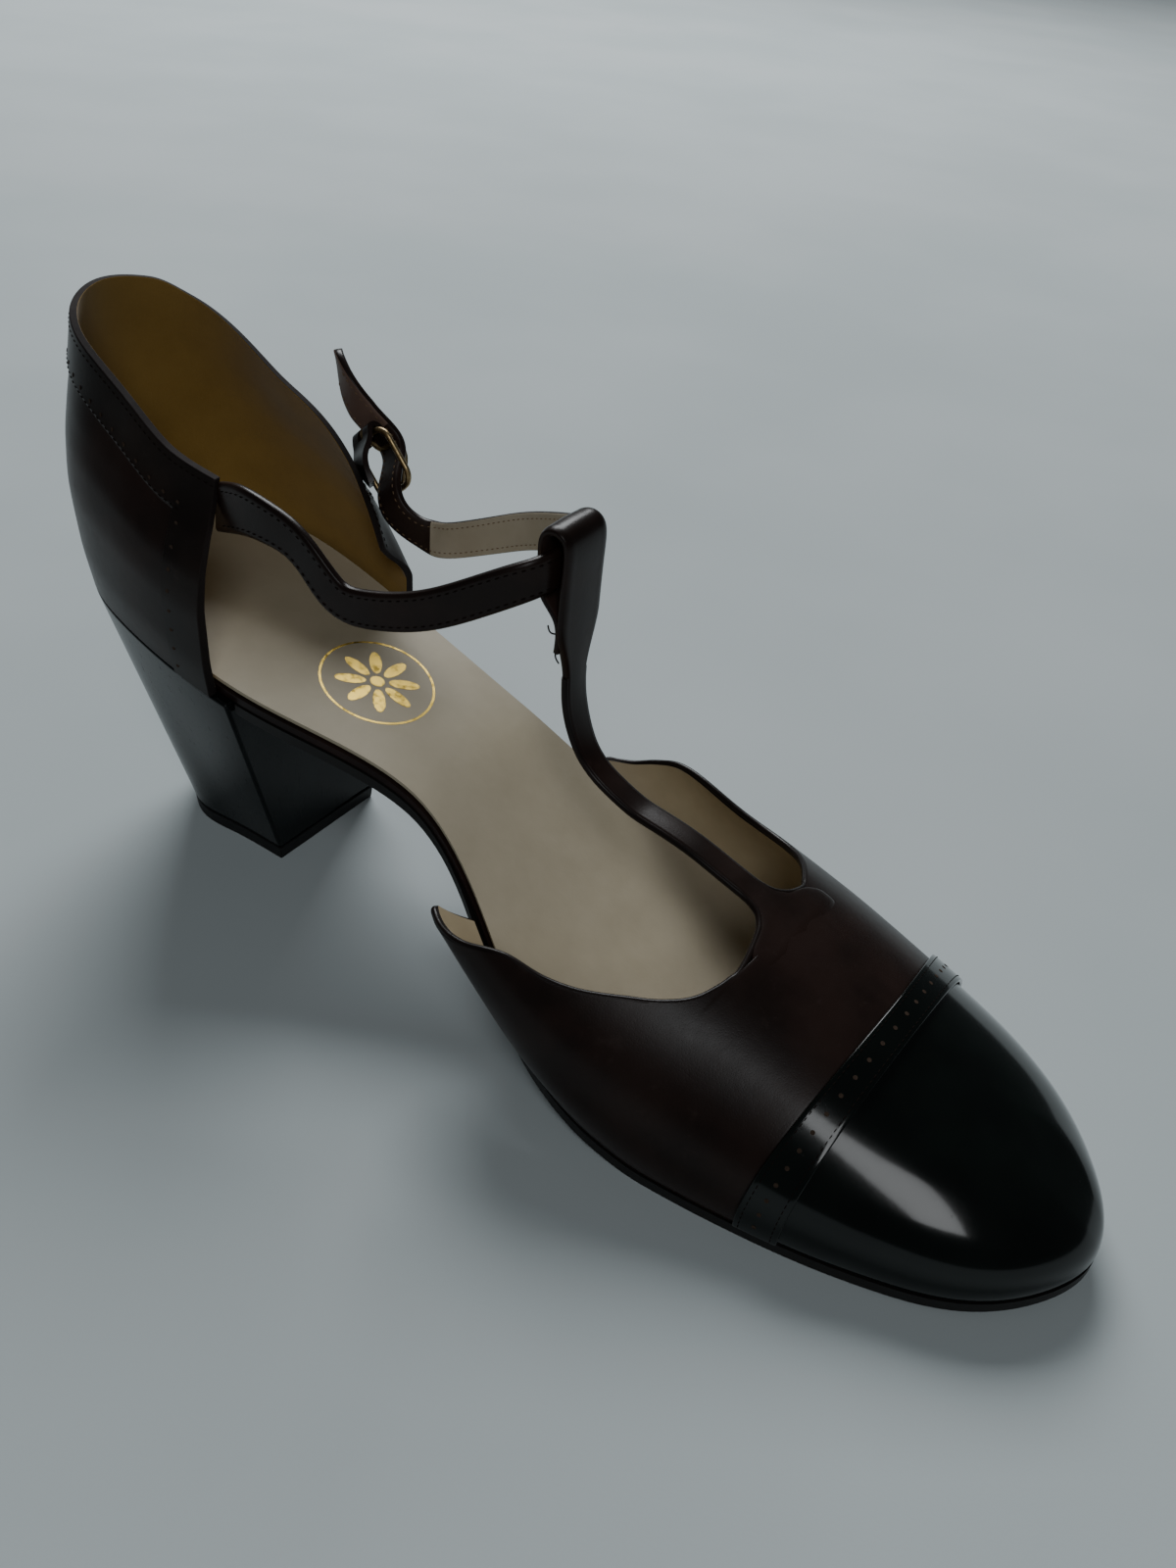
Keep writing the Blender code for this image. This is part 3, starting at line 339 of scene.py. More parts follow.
def forepart(side, share, up):
    """Outer surface of the forepart, from the feather line (up 0) to the ridge (up 1)."""
    foot, out = side_line(side, WING_START[side] * LENGTH, share)
    foot = np.column_stack([foot, bed_height(foot[:, 0]) - FEATHER_DROP])
    ridge, slope = ridge_line(share)
    lean, reach = read(WALL[side], 1, share), read(WALL[side], 2, share)
    rise = unit(np.column_stack([out * lean[:, None], np.ones(len(share))]))
    width = np.linalg.norm(foot[:, :2] - ridge[:, :2], axis=1)[:, None]
    beyond = side_line(-side, WING_START[-side] * LENGTH, share)[0]
    across = foot[:, :2] - beyond
    across /= np.maximum(np.linalg.norm(across, axis=1), 1.0)[:, None]
    across = np.column_stack([across, slope * across[:, 0]])
    wall = foot + rise * (reach * (ridge[:, 2] - foot[:, 2]))[:, None]
    crown = ridge + CROWN_REACH * width * across
    v = np.asarray(up, float)[:, None]
    return ((1 - v) ** 3 * foot + 3 * (1 - v) ** 2 * v * wall
            + 3 * (1 - v) * v * v * crown + v ** 3 * ridge)


def quarter_foot(share):
    """Feather line round the heel, from the inner front edge to the outer one."""
    inner, outer = SIDES[-1], SIDES[1]
    inner = inner[inner[:, 0] <= QUARTER_ENDS[0] * LENGTH][::-1]
    outer = outer[outer[:, 0] <= QUARTER_ENDS[1] * LENGTH]
    line = np.vstack([inner, outer[1:]])
    step = 0.002
    ahead, behind = at_shares(line, np.minimum(share + step, 1)), at_shares(line, np.maximum(share - step, 0))
    return at_shares(line, share), sideways(unit(ahead - behind))


def collar_height(share):
    return COLLAR_HEIGHT * read(COLLAR, 1, share)


def quarter(share, up, proud=0.0):
    """Outer surface of the quarter, from the feather line (up 0) to the collar (up 1)."""
    foot, out = quarter_foot(share)
    low = bed_height(foot[:, 0]) - FEATHER_DROP
    z = low + (collar_height(share) - low) * up
    rear, sides = BALL_WIDTH * read(SWELL, 1, up), BALL_WIDTH * read(SWELL, 2, up)
    turn = np.clip(np.abs(share - 0.5) / 0.32, 0, 1)
    turn = turn * turn * (3 - 2 * turn)
    swell = rear * (1 - turn) + sides * turn + proud
    return np.column_stack([foot + out * swell[:, None], z])


def placed(points):
    return (np.asarray(points, float) - ORIGIN) * MM


def edge_pair(inset, start=None):
    """Inner and outer points of the inset feather line at the same station, for a slab."""
    inner, outer = inset_side(-1, inset), inset_side(1, inset)
    end = LENGTH - inset

    def line(u):
        if start is None:
            x = inset + (end - inset) * (1 - np.cos(math.pi * u)) / 2
        else:
            x = start + (end - start) * np.sin(math.pi / 2 * u)
        pair = []
        for half in (inner, outer):
            order = np.argsort(half[:, 0])
            pair.append(np.column_stack([x, np.interp(x, half[order, 0], half[order, 1])]))
        tip = np.isclose(x, end)
        pair[0][tip, 1] = pair[1][tip, 1] = TOE_ACROSS * BALL_WIDTH
        return pair

    return line


def tip_line(margin, shares):
    """The heel's outline at the floor: straight sides and a round rear."""
    half = TIP_WIDTH / 2 - margin
    rear, front = TIP_REAR + margin, TIP_FRONT - margin
    deep = front - rear
    side = [(front, half), (front - 0.40 * deep, half), (front - 0.72 * deep, 0.93 * half), (rear, 0)]
    points = [(x, -y) for x, y in side] + [(x, y) for x, y in side[-2::-1]]
    return smooth_line(points, shares)


def seat_line(shares):
    inner = SIDES[-1][SIDES[-1][:, 0] <= BREAST][::-1]
    outer = SIDES[1][SIDES[1][:, 0] <= BREAST]
    return at_shares(np.vstack([inner, outer[1:]]), shares)


def fold_sides(u):
    """Splits shares along a piece that goes up the inner side to the toe and back down the outer one."""
    outer = u > 0.5
    return outer, np.where(outer, 2 * (1 - u), 2 * u)


def both_sides(outer, share, up):
    """Points of the forepart on the inner side, or on the outer one where outer is true."""
    points = np.zeros((len(share), 3))
    for side, mask in ((-1, ~outer), (1, outer)):
        points[mask] = forepart(side, share[mask], up[mask])
    return points


def throat_columns(u):
    """Sets the vamp's columns close together where the topline turns across the ridge."""
    return follow((0, 0.45, 0.78, 1), (0, 0.565, 0.700, 1), u)


def wing_share(side, share, edge):
    """Starts a wing at its corner and leaves the shares near the throat as they are."""
    return np.interp(share, (0, WING_EASE, edge), (WING_CORNER[side], WING_EASE, edge))


def t_points():
    """Middle line of the T-strap: up the instep, over its loop and down to the end of the fold."""
    throat, top = THROAT * LENGTH, T_TOP * LENGTH
    deep = T_WALL / 2
    root = []
    for station in (T_ROOT * LENGTH, 0.5 * (T_ROOT + THROAT) * LENGTH):
        share = float(np.interp(station / LENGTH, column(RIDGE, 1), column(RIDGE, 0)))
        ridge = ridge_line(np.array([share]))[0][0]
        root.append((ridge[0], ridge[2] - deep - ROOT_SINK))
    rise = T_HEIGHT - INSTEP_HEIGHT
    shin = [(throat + (top - throat) * r[0], INSTEP_HEIGHT + rise * r[1]) for r in T_PATH]
    radius = (LOOP_INSIDE + T_WALL) / 2
    centre = (top - radius, T_HEIGHT - deep - radius)
    over = [(centre[0] + radius * math.cos(a), centre[1] + radius * math.sin(a))
            for a in np.radians([0, 45, 90, 135, 180])]
    drop = STRAP_WIDTH + 2 * GAP
    behind = top - T_WALL + 0.1
    fold = [(top - 2 * radius, centre[1] - 0.50 * drop), (top - 1.95 * radius, centre[1] - 0.95 * drop),
            (top - 1.5 * radius, centre[1] - 1.30 * drop), (behind, centre[1] - 1.75 * drop),
            (behind, centre[1] - 2.55 * drop)]
    return root + shin + over + fold


def t_widths(run):
    """Width of the T-strap: it spreads where it leaves the vamp, and again for its loop."""
    loop = follow((0, 0.56, 0.66, 0.90, 1), (0, 0, 1, 1, 0.7), run)
    return T_WIDTH * read(T_SPREAD, 1, run) + (LOOP_WIDTH - T_WIDTH) * loop


def normals_of(surface, u, v, inside=None, steps=(0.003, 0.003)):
    """Points of a surface and their directions away from a point inside, or from the X axis."""
    def change(du, dv):
        ends = [surface(np.clip(u + way * du, 0, 1), np.clip(v + way * dv, 0, 1)) for way in (1, -1)]
        return ends[0] - ends[1]

    here = surface(u, v)
    normal = unit(np.cross(change(steps[0], 0), change(0, steps[1])))
    core = here * (1, 0, 0) if inside is None else np.asarray(inside)
    return here, normal * np.where(np.sum(normal * (here - core), axis=1) > 0, 1.0, -1.0)[:, None]


def band_base(u, v):
    """Surface under the cap's band: u goes from one side of the sole over the ridge to the other."""
    outer, climb = fold_sides(u)
    share = CAP_SEAM + (CAP_BAND_FRONT - CAP_SEAM) * v
    return both_sides(outer, share, BAND_START + (1 - BAND_START) * climb)


def band_surface(u, v):
    """The band's outer face, lifted off the seam along the surface's own normals."""
    here, normal = normals_of(band_base, u, v, steps=(0.002, 0.1))
    return here + normal * (GAP + BAND_WALL)


def strap_place(row):
    return np.array([row[0] * LENGTH, row[1] * BALL_WIDTH, row[2] * T_HEIGHT])


def buckle_frame_axes():
    """Middle of the buckle, and its directions along the strap, beside its plane and across it."""
    middle = strap_place(BUCKLE_PLACE)
    along = unit(np.array([-math.cos(BUCKLE_LEAN), 0.05, math.sin(BUCKLE_LEAN)]))
    beside = unit(np.array([0.0, 1.0, 0.0]) - along * along[1])
    return middle, along, beside, np.cross(along, beside)


def strap_line():
    """Middle line and widths of the ankle strap, from its root to its free end."""
    middle, along, beside, _ = buckle_frame_axes()
    rows = [*INNER_STRAP, LOOP_PLACE, *OUTER_STRAP]
    points = [strap_place(r) for r in rows]
    widths = [r[3] * STRAP_WIDTH for r in rows]
    for reach, off in STRAP_AT_BUCKLE:
        points.append(middle + FRAME_LENGTH * (reach * along + off * beside))
        widths.append(STRAP_WIDTH)
    widths[-1] = 0.75 * STRAP_WIDTH
    steps = np.linspace(0, 1, 77)
    line = smooth_line(np.column_stack([points, widths]), steps)
    return line[:, :3], line[:, 3]


# Camera, worked out from the photograph's outlines: millimetres in the same stations
CAMERA_AZIMUTH = math.radians(31.14)
CAMERA_HEIGHT = math.radians(37.04)
CAMERA_ROLL = math.radians(5.29)
CAMERA_EYE = (230.5, -173.8, 200.2)
CAMERA_LENS = 30.33
FRAME_WIDTH = 36.0

# Lights: place and size in metres, power in watts
LIGHTS = (
    ("front_soft", (0.67, -0.75, 0.98), (0.34, 0.62), 3.9),
    ("window_soft", (-0.9, 1.3, 1.5), (1.2, 1.0), 42.0),
)

# Finer sizes that only the looks need
BINDING = 0.72
STITCH_SPACING = 1.6
STITCH_LENGTH = 0.9
STITCH_THICK = 0.20
HOLE_RADIUS = 0.42
HOLE_SPACING = 3.7
BAND_HOLE_SPACING = 4.2
EDGE_ROUND = 0.25
HEEL_ROUND = 0.7
RIPPLE = 0.12
# The topline's binding goes over to the T-strap: side, share of the way up to the ridge where it leaves
# the topline, share of the strap's length where it joins it; and the share of that length where it ends
BINDING_TURN = ((-1, 0.77, 0.082), (1, 0.82, 0.086))
BINDING_END = 0.57
# Shares of the ankle strap's length from which its back is dark, and from which it is tan
STRAP_BACKS = (0.745, 0.90)
# How finely the surfaces are divided along the shoe and round the toe, and the paths of cords and straps
# along their length
COLUMNS = 150
TOE_COLUMNS = 220
STEPS = 420
RING_POINTS = 32


def new_node(tree, kind, settings):
    made = tree.nodes.new(kind)
    for key, value in settings.items():
        setattr(made, key, value)
    return made


class Value:
    """A number or colour in a material: arithmetic on it adds Math nodes."""

    def __init__(self, finish, socket):
        self.finish, self.socket = finish, socket

    def __add__(self, other):
        return self.finish.node("ShaderNodeMath", {0: self, 1: other}, operation="ADD")

    def __mul__(self, other):
        return self.finish.node("ShaderNodeMath", {0: self, 1: other}, operation="MULTIPLY")

    def between(self, low, high):
        """0 below low, 1 above high and smooth between them."""
        values = {"Value": self, "From Min": low, "From Max": high}
        return self.finish.node("ShaderNodeMapRange", values, interpolation_type="SMOOTHSTEP", clamp=True)


class Finish:
    """A procedural material around one Principled BSDF."""

    def __init__(self, name, **constants):
        self.material = bpy.data.materials.new(name)
        self.material.use_nodes = True
        self.tree = self.material.node_tree
        self.shader = self.tree.nodes["Principled BSDF"]
        self.spot = self.node("ShaderNodeTexCoord", output="Object")
        for key, value in constants.items():
            self.set(key.replace("_", " ").title().replace("Ior", "IOR"), value)

    def node(self, kind, values=None, output=0, **settings):
        """Adds a node: its settings first, then the values or links of its sockets."""
        made = new_node(self.tree, kind, settings)
        for key, value in (values or {}).items():
            named = [s for n, s in enumerate(made.inputs) if key in (n, s.identifier, s.name)]
            self.feed(named[0], value)
        return Value(self, made.outputs[output])

    def feed(self, socket, value):
        if isinstance(value, Value):
            self.tree.links.new(value.socket, socket)
        elif isinstance(value, tuple) and socket.type == "RGBA":
            socket.default_value = (*value, 1.0)
        else:
            socket.default_value = value

    def set(self, name, value):
        self.feed(self.shader.inputs[name], value)

    def noise(self, size, detail=2.0, rough=0.5, seed=0.0, stretch=(1, 1, 1)):
        """Soft noise whose patches are about size millimetres across, 0 to 1."""
        turned = self.node("ShaderNodeMapping", {"Vector": self.spot, "Scale": stretch})
        values = {"Vector": turned, "W": seed, "Scale": 1 / (size * MM), "Detail": detail, "Roughness": rough}
        return self.node("ShaderNodeTexNoise", values, noise_dimensions="4D")

    def cells(self, size):
        return self.node("ShaderNodeTexVoronoi", {"Vector": self.spot, "Scale": 1 / (size * MM)})

    def mix(self, share, one, other):
        values = {"Factor_Float": share, "A_Color": one, "B_Color": other}
        return self.node("ShaderNodeMix", values, output=2, data_type="RGBA")

    def look(self, share, dark, light, rough=None):
        """Mixes two colours, and sets the roughness if it is given."""
        self.set("Base Color", self.mix(share, dark, light))
        if rough is not None:
            self.set("Roughness", rough)

    def relief(self, *layers):
        """Bumps one over the other, each a height from 0 to 1, its depth in millimetres and its strength."""
        for height, deep, strength in layers:
            values = {"Height": height, "Distance": deep * MM, "Strength": strength}
            under = self.shader.inputs["Normal"].links
            if under:
                values["Normal"] = Value(self, under[0].from_socket)
            self.set("Normal", self.node("ShaderNodeBump", values))


def calf(name, dark, light, rough=0.36, coat=0.05):
    """Smooth aniline calf: cloudy colour, fine pores, rubbed paler in places."""
    made = Finish(name, coat_roughness=0.20, coat_weight=coat, specular_ior_level=0.17)
    cloud = made.noise(16, 3, 0.55)
    fine = made.noise(2.2, 3, 0.6, 4)
    rubbed = made.noise(5, 4, 0.65, 9).between(0.58, 0.78)
    worn = tuple(min(1.0, c * 1.9 + 0.006) for c in light)
    made.look(rubbed * 0.35, made.mix(cloud.between(0.35, 0.70), dark, light), worn,
              cloud * 0.10 + fine * 0.10 + rubbed * 0.08 + (rough - 0.12))
    made.relief((made.cells(0.42).between(0.0, 0.55), 0.018, 0.35), (made.noise(3.5, seed=2), 0.10, 0.30))
    return made


def patent(name, colour, tint):
    """Patent leather: a deep clear coat over black, with soft dents and dust-fine marks."""
    made = Finish(name, coat_weight=0.60, coat_roughness=0.09, coat_ior=1.38, specular_ior_level=0.15)
    marks = made.noise(1.1, 4, 0.7, 5).between(0.60, 0.75)
    made.look(made.noise(14).between(0.35, 0.75), colour, tint, marks * 0.16 + 0.16)
    made.relief((made.noise(6, seed=3), 0.10, 0.35), (made.noise(0.9, seed=7), 0.012, 0.4))
    return made


def suede(name, dark, light):
    """Brushed lining: short fibres in clumps, darker where it was rubbed."""
    made = Finish(name, roughness=0.92, specular_ior_level=0.2, sheen_weight=0.25, sheen_roughness=0.5)
    fibres = made.noise(0.35, 3, 0.7, 6)
    made.look(made.noise(11, 4, 0.6) * 0.7 + fibres * 0.3, dark, light)
    made.relief((fibres, 0.10, 0.5))
    return made


def plain_leather(name, dark, light, rough=0.55, pore=0.5):
    """Uncoated lining leather, nearly matt, with faint pores and stains."""
    made = Finish(name, specular_ior_level=0.35)
    spots = made.noise(1.6, 3, 0.6, 8)
    made.look(made.noise(22, 4, 0.6).between(0.30, 0.72) * 0.8 + spots * 0.2, dark, light,
              spots * 0.12 + (rough - 0.06))
    made.relief((made.cells(pore).between(0.0, 0.6), 0.02, 0.3), (made.noise(7, seed=1), 0.12, 0.25))
    return made


def covered_heel(name, colour, tint):
    """Polished leather on the heel block, with fine upright scratches."""
    made = Finish(name, coat_weight=0.07, coat_roughness=0.16, coat_ior=1.4, specular_ior_level=0.13)
    cloud = made.noise(18, 3)
    scratch = made.noise(0.7, 3, 0.6, 3, stretch=(1, 1, 0.08)).between(0.60, 0.72)
    made.look(cloud.between(0.35, 0.70), colour, tint, cloud * 0.10 + scratch * 0.15 + 0.18)
    made.relief((made.noise(2.4, seed=5), 0.05, 0.35))
    return made


def sole_edge(name, dark, light):
    """Stained and inked sole leather, in thin layers along its edge."""
    made = Finish(name, specular_ior_level=0.4)
    layers = made.noise(1.2, stretch=(0.05, 0.05, 1.6))
    patches = made.noise(9, 3, 0.6, 2)
    made.look(layers * 0.5 + patches * 0.5, dark, light, patches * 0.25 + 0.40)
    made.relief((layers, 0.06, 0.4))
    return made


def rubber(name, colour):
    made = Finish(name, specular_ior_level=0.35)
    dust = made.noise(1, 4, 0.7).between(0.50, 0.80)
    made.look(dust, colour, tuple(c * 2.4 + 0.01 for c in colour), dust * 0.15 + 0.62)
    made.relief((made.noise(0.5, 2, 0.6, 2), 0.05, 0.4))
    return made


def gilt(name, colour, rough=0.25, wear=0.4):
    """Brass or gold foil, dulled in patches."""
    made = Finish(name, metallic=1.0)
    dull = made.noise(1.8, 3, 0.6).between(0.45, 0.75)
    made.look(dull * wear, colour, tuple(c * 0.35 for c in colour), dull * 0.25 + rough)
    made.relief((made.noise(0.8, seed=4), 0.02, 0.4))
    return made


def thread(name, dark, light):
    made = Finish(name, roughness=0.85, specular_ior_level=0.06)
    strands = made.noise(0.25)
    made.look(strands, dark, light)
    made.relief((strands, 0.05, 0.6))
    return made


# Painted shade: a perforation's dark inside, with a little of the lining's brown seen through it, coloured
# onto a disc in place of a real hole.
def painted_hole_shade(name):
    made = Finish(name, roughness=0.9, specular_ior_level=0.1)
    made.look(made.noise(0.5), (0.020, 0.013, 0.009), (0.075, 0.050, 0.036))
    return made


def cloth_floor(name):
    """Pale sheet under the shoe: a faint weave and soft, wide unevenness."""
    made = Finish(name, roughness=0.95, specular_ior_level=0.15)
    made.look(made.noise(160, 3).between(0.3, 0.7), (0.50, 0.555, 0.565), (0.55, 0.60, 0.61))
    made.relief((made.noise(0.8, 2, 0.6, 3), 0.12, 0.15), (made.noise(45, seed=8), 1.2, 0.25))
    return made


BROWN = calf("brown_calf", (0.0112, 0.0060, 0.0046), (0.0208, 0.0108, 0.0083))
BINDING_LEATHER = calf("binding_calf", (0.0075, 0.0046, 0.0038), (0.0145, 0.0085, 0.0070), rough=0.34)
PATENT = patent("black_patent_leather", (0.0022, 0.0034, 0.0028), (0.0040, 0.0062, 0.0050))
COLLAR_LEATHER = calf("collar_calf", (0.0094, 0.0061, 0.0048), (0.0172, 0.0110, 0.0088), coat=0.06)
HEM = plain_leather("collar_hem", (0.007, 0.0035, 0.003), (0.014, 0.007, 0.006), rough=0.85)
SUEDE = suede("quarter_suede", (0.18, 0.101, 0.020), (0.325, 0.200, 0.047))
VAMP_LINING = plain_leather("vamp_lining", (0.36, 0.285, 0.175), (0.48, 0.39, 0.25))
STRAP_LINING = plain_leather("strap_lining", (0.40, 0.34, 0.25), (0.52, 0.46, 0.36))
STRAP_BACK = plain_leather("strap_back", (0.016, 0.008, 0.006), (0.032, 0.016, 0.012))
TAIL_LINING = plain_leather("tail_lining", (0.14, 0.085, 0.065), (0.21, 0.135, 0.105))
SOCK_LEATHER = plain_leather("sock_lining", (0.39, 0.335, 0.235), (0.475, 0.415, 0.305), pore=0.6)
RIM_LEATHER = calf("insole_rim", (0.010, 0.005, 0.004), (0.022, 0.010, 0.008))
HEEL_LEATHER = covered_heel("heel_cover", (0.0045, 0.0055, 0.0055), (0.0095, 0.012, 0.012))
SOLE_LEATHER = sole_edge("sole_leather_edge", (0.003, 0.0028, 0.0025), (0.009, 0.0068, 0.0056))
TOP_RUBBER = rubber("top_piece_rubber_worn", (0.006, 0.006, 0.006))
BRASS = gilt("buckle_brass", (0.34, 0.25, 0.13), rough=0.34)
FOIL = gilt("gold_foil", (0.62, 0.43, 0.09), rough=0.40, wear=0.7)
DARK_THREAD = thread("dark_thread", (0.006, 0.004, 0.003), (0.016, 0.010, 0.008))
TAN_THREAD = thread("tan_thread", (0.16, 0.10, 0.06), (0.26, 0.18, 0.11))
HOLE_SHADE = painted_hole_shade("hole_shadow")


def set_normals(bm):
    bmesh.ops.recalc_face_normals(bm, faces=bm.faces)


def bent(columns, rows, surface):
    """A grid bent by a function of shares (u, v)."""
    bm = bmesh.new()
    bmesh.ops.create_grid(bm, x_segments=columns, y_segments=rows, size=1.0)
    u, v = (np.array([vert.co[:2] for vert in bm.verts]).T + 1) / 2
    for vert, co in zip(bm.verts, placed(surface(u, v))):
        vert.co = co
    bmesh.ops.remove_doubles(bm, verts=bm.verts, dist=0.01 * MM)
    bmesh.ops.dissolve_degenerate(bm, edges=bm.edges, dist=0.005 * MM)
    set_normals(bm)
    return bm


def face_away(bm, inside):
    """Turns an open surface so that it faces away from a point inside the shoe."""
    core = mathutils.Vector(placed(inside))
    bm.normal_update()
    if sum(f.normal.dot(f.calc_center_median() - core) * f.calc_area() for f in bm.faces) < 0:
        bmesh.ops.reverse_faces(bm, faces=bm.faces)
        bm.normal_update()
    return bm


def rippled(bm, deep, size=19.0, phase=0.0):
    """Presses shallow, wide hollows into a surface, as in leather drawn over a last."""
    for vert in bm.verts:
        x, y, z = (c / MM / size for c in vert.co)
        wave = math.sin(2.1 * x + 1.7 * y + phase) * math.sin(1.3 * y - 2.3 * z + 2 * phase)
        vert.co += vert.normal * deep * MM * (0.6 * wave - 0.4)


def linked(name, data):
    """An object for a mesh, lamp or camera, at the origin of the scene."""
    made = bpy.data.objects.new(name, data)
    bpy.context.scene.collection.objects.link(made)
    return made


def mesh_object(name, bm, finishes, sharp=40):
    mesh = bpy.data.meshes.new(name)
    bm.to_mesh(mesh)
    bm.free()
    for finish in finishes:
        mesh.materials.append(finish.material)
    mesh.shade_smooth()
    mesh.set_sharp_from_angle(angle=math.radians(sharp))
    return linked(name, mesh)


def hand_in(made, slot_name, *nodes):
    """Ties a finished piece to the shoe's one body and hides the CAD nodes it stands for; slot_name is not
    used.
    """
    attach(made, "root")
    if nodes:
        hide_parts(*nodes)


def piece(name, bm, finishes, slot_name, *nodes, thick=0, edge=0, sharp=40):
    """Makes an object of a mesh, tied to the shoe's body, with a wall (finishes: outside, lining, rim) and
    rounded edges where asked for.
    """
    made = mesh_object(name, bm, finishes, sharp)
    if thick:
        solid = made.modifiers.new("wall", "SOLIDIFY")
        solid.thickness = thick * MM
        solid.offset = -1.0
        solid.use_even_offset = True
        solid.material_offset = min(1, len(finishes) - 1)
        solid.material_offset_rim = len(finishes) - 1
    if edge:
        bevel = made.modifiers.new("rounded", "BEVEL")
        bevel.width = edge * MM
        bevel.segments = 3
        bevel.limit_method = "ANGLE"
        bevel.angle_limit = math.radians(48)
    hand_in(made, slot_name, *nodes)


def node_tree(name, build, **sizes):
    """A Geometry Nodes tree with named inputs: what build makes is made real and gets its material."""
    tree = bpy.data.node_groups.new(name, "GeometryNodeTree")
    tree.interface.new_socket("Geometry", in_out="OUTPUT", socket_type="NodeSocketGeometry")
    for label, value in {"Geometry": None, "Material": None, **sizes}.items():
        kind = {float: "Float", int: "Int"}.get(type(value), label)
        socket = tree.interface.new_socket(label, in_out="INPUT", socket_type="NodeSocket" + kind)
        if value is not None:
            socket.default_value = value
    given = tree.nodes.new("NodeGroupInput").outputs

    def add(kind, values, **settings):
        made = new_node(tree, kind, settings)
        for key, value in values.items():
            if isinstance(value, bpy.types.NodeSocket):
                tree.links.new(value, made.inputs[key])
            else:
                made.inputs[key].default_value = value
        return made.outputs

    real = add("GeometryNodeRealizeInstances", {"Geometry": build(add, given)[0]})
    done = add("GeometryNodeSetMaterial", {"Geometry": real[0], "Material": given["Material"]})
    tree.links.new(done[0], tree.nodes.new("NodeGroupOutput").inputs[0])
    return tree


def stitches(add, given):
    """Small rounded bars along the guide's edges, a fixed spacing apart."""
    line = add("GeometryNodeMeshToCurve", {"Mesh": given["Geometry"]})
    dots = add("GeometryNodeCurveToPoints", {"Curve": line[0], "Length": given["Spacing"]}, mode="LENGTH")
    ball = add("GeometryNodeMeshUVSphere", {"Segments": 8, "Rings": 6, "Radius": 0.5})
    thick = given["Thickness"]
    size = add("ShaderNodeCombineXYZ", {"X": given["Length"], "Y": thick, "Z": thick})
    bar = add("GeometryNodeTransform", {"Geometry": ball[0], "Scale": size[0]})
    turn = add("FunctionNodeAlignRotationToVector", {"Vector": dots["Tangent"]}, axis="X")
    shake = add("FunctionNodeRandomValue", {"Seed": 11}, data_type="FLOAT_VECTOR")
    even = add("ShaderNodeVectorMath", {0: shake[0], 1: (0.5, 0.5, 0.5)}, operation="SUBTRACT")
    small = add("ShaderNodeVectorMath", {0: even[0], "Scale": given["Unevenness"]}, operation="SCALE")
    tilt = add("FunctionNodeRotateRotation", {"Rotation": turn[0], "Rotate By": small[0]})
    places = {"Points": dots["Points"], "Instance": bar[0], "Rotation": tilt[0]}
    return add("GeometryNodeInstanceOnPoints", places)


def perforations(add, given):
    """A shallow dark disc on each point of the guide, facing along the point's own vector, standing in for a
    hole with painted shade.
    """
    points = add("GeometryNodeMeshToPoints", {"Mesh": given["Geometry"]})
    sizes = {"Vertices": 14, "Radius": given["Radius"], "Depth": given["Depth"]}
    disc = add("GeometryNodeMeshCylinder", sizes)
    facing = add("GeometryNodeInputNamedAttribute", {"Name": "facing"}, data_type="FLOAT_VECTOR")
    turn = add("FunctionNodeAlignRotationToVector", {"Vector": facing[0]}, axis="Z")
    places = {"Points": points[0], "Instance": disc[0], "Rotation": turn[0]}
    return add("GeometryNodeInstanceOnPoints", places)


def round_cord(add, given):
    """A round binding, wire or thread along the guide's edges."""
    line = add("GeometryNodeMeshToCurve", {"Mesh": given["Geometry"]})
    ring = add("GeometryNodeCurvePrimitiveCircle", {"Resolution": given["Sides"], "Radius": given["Radius"]})
    tube = add("GeometryNodeCurveToMesh", {"Curve": line[0], "Profile Curve": ring[0], "Fill Caps": True})
    return add("GeometryNodeSetShadeSmooth", {"Geometry": tube[0]})


STITCHES = node_tree("stitches", stitches, Spacing=STITCH_SPACING * MM, Length=STITCH_LENGTH * MM,
                     Thickness=STITCH_THICK * MM, Unevenness=0.06)
HOLES = node_tree("perforations", perforations, Radius=HOLE_RADIUS * MM, Depth=0.10 * MM)
CORD = node_tree("round_cord", round_cord, Radius=BINDING * MM, Sides=12)


def grow(slot_name, name, lines, tree, finish, facing=None, nodes=(), **sizes):
    """Runs a tree on lines, or on loose points with directions, and keeps the plain mesh it makes, tied to
    the shoe's body.
    """
    mesh = bpy.data.meshes.new(name)
    points = np.vstack([placed(line) for line in lines])
    edges, first = [], 0
    for line in lines:
        edges += [(first + k, first + k + 1) for k in range(len(line) - 1)]
        first += len(line)
    mesh.from_pydata([tuple(p) for p in points], edges if facing is None else [], [])
    if facing is not None:
        layer = mesh.attributes.new("facing", "FLOAT_VECTOR", "POINT")
        layer.data.foreach_set("vector", np.asarray(facing, float).ravel())
    made = linked(name, mesh)
    modifier = made.modifiers.new(tree.name, "NODES")
    modifier.node_group = tree
    wanted = {"Material": finish.material, **sizes}
    for socket in tree.interface.items_tree:
        if socket.in_out == "INPUT" and socket.name in wanted:
            modifier[socket.identifier] = wanted[socket.name]
    graph = bpy.context.evaluated_depsgraph_get()
    mesh = bpy.data.meshes.new_from_object(made.evaluated_get(graph), depsgraph=graph)
    made.modifiers.clear()
    made.data = mesh
    hand_in(made, slot_name, *nodes)


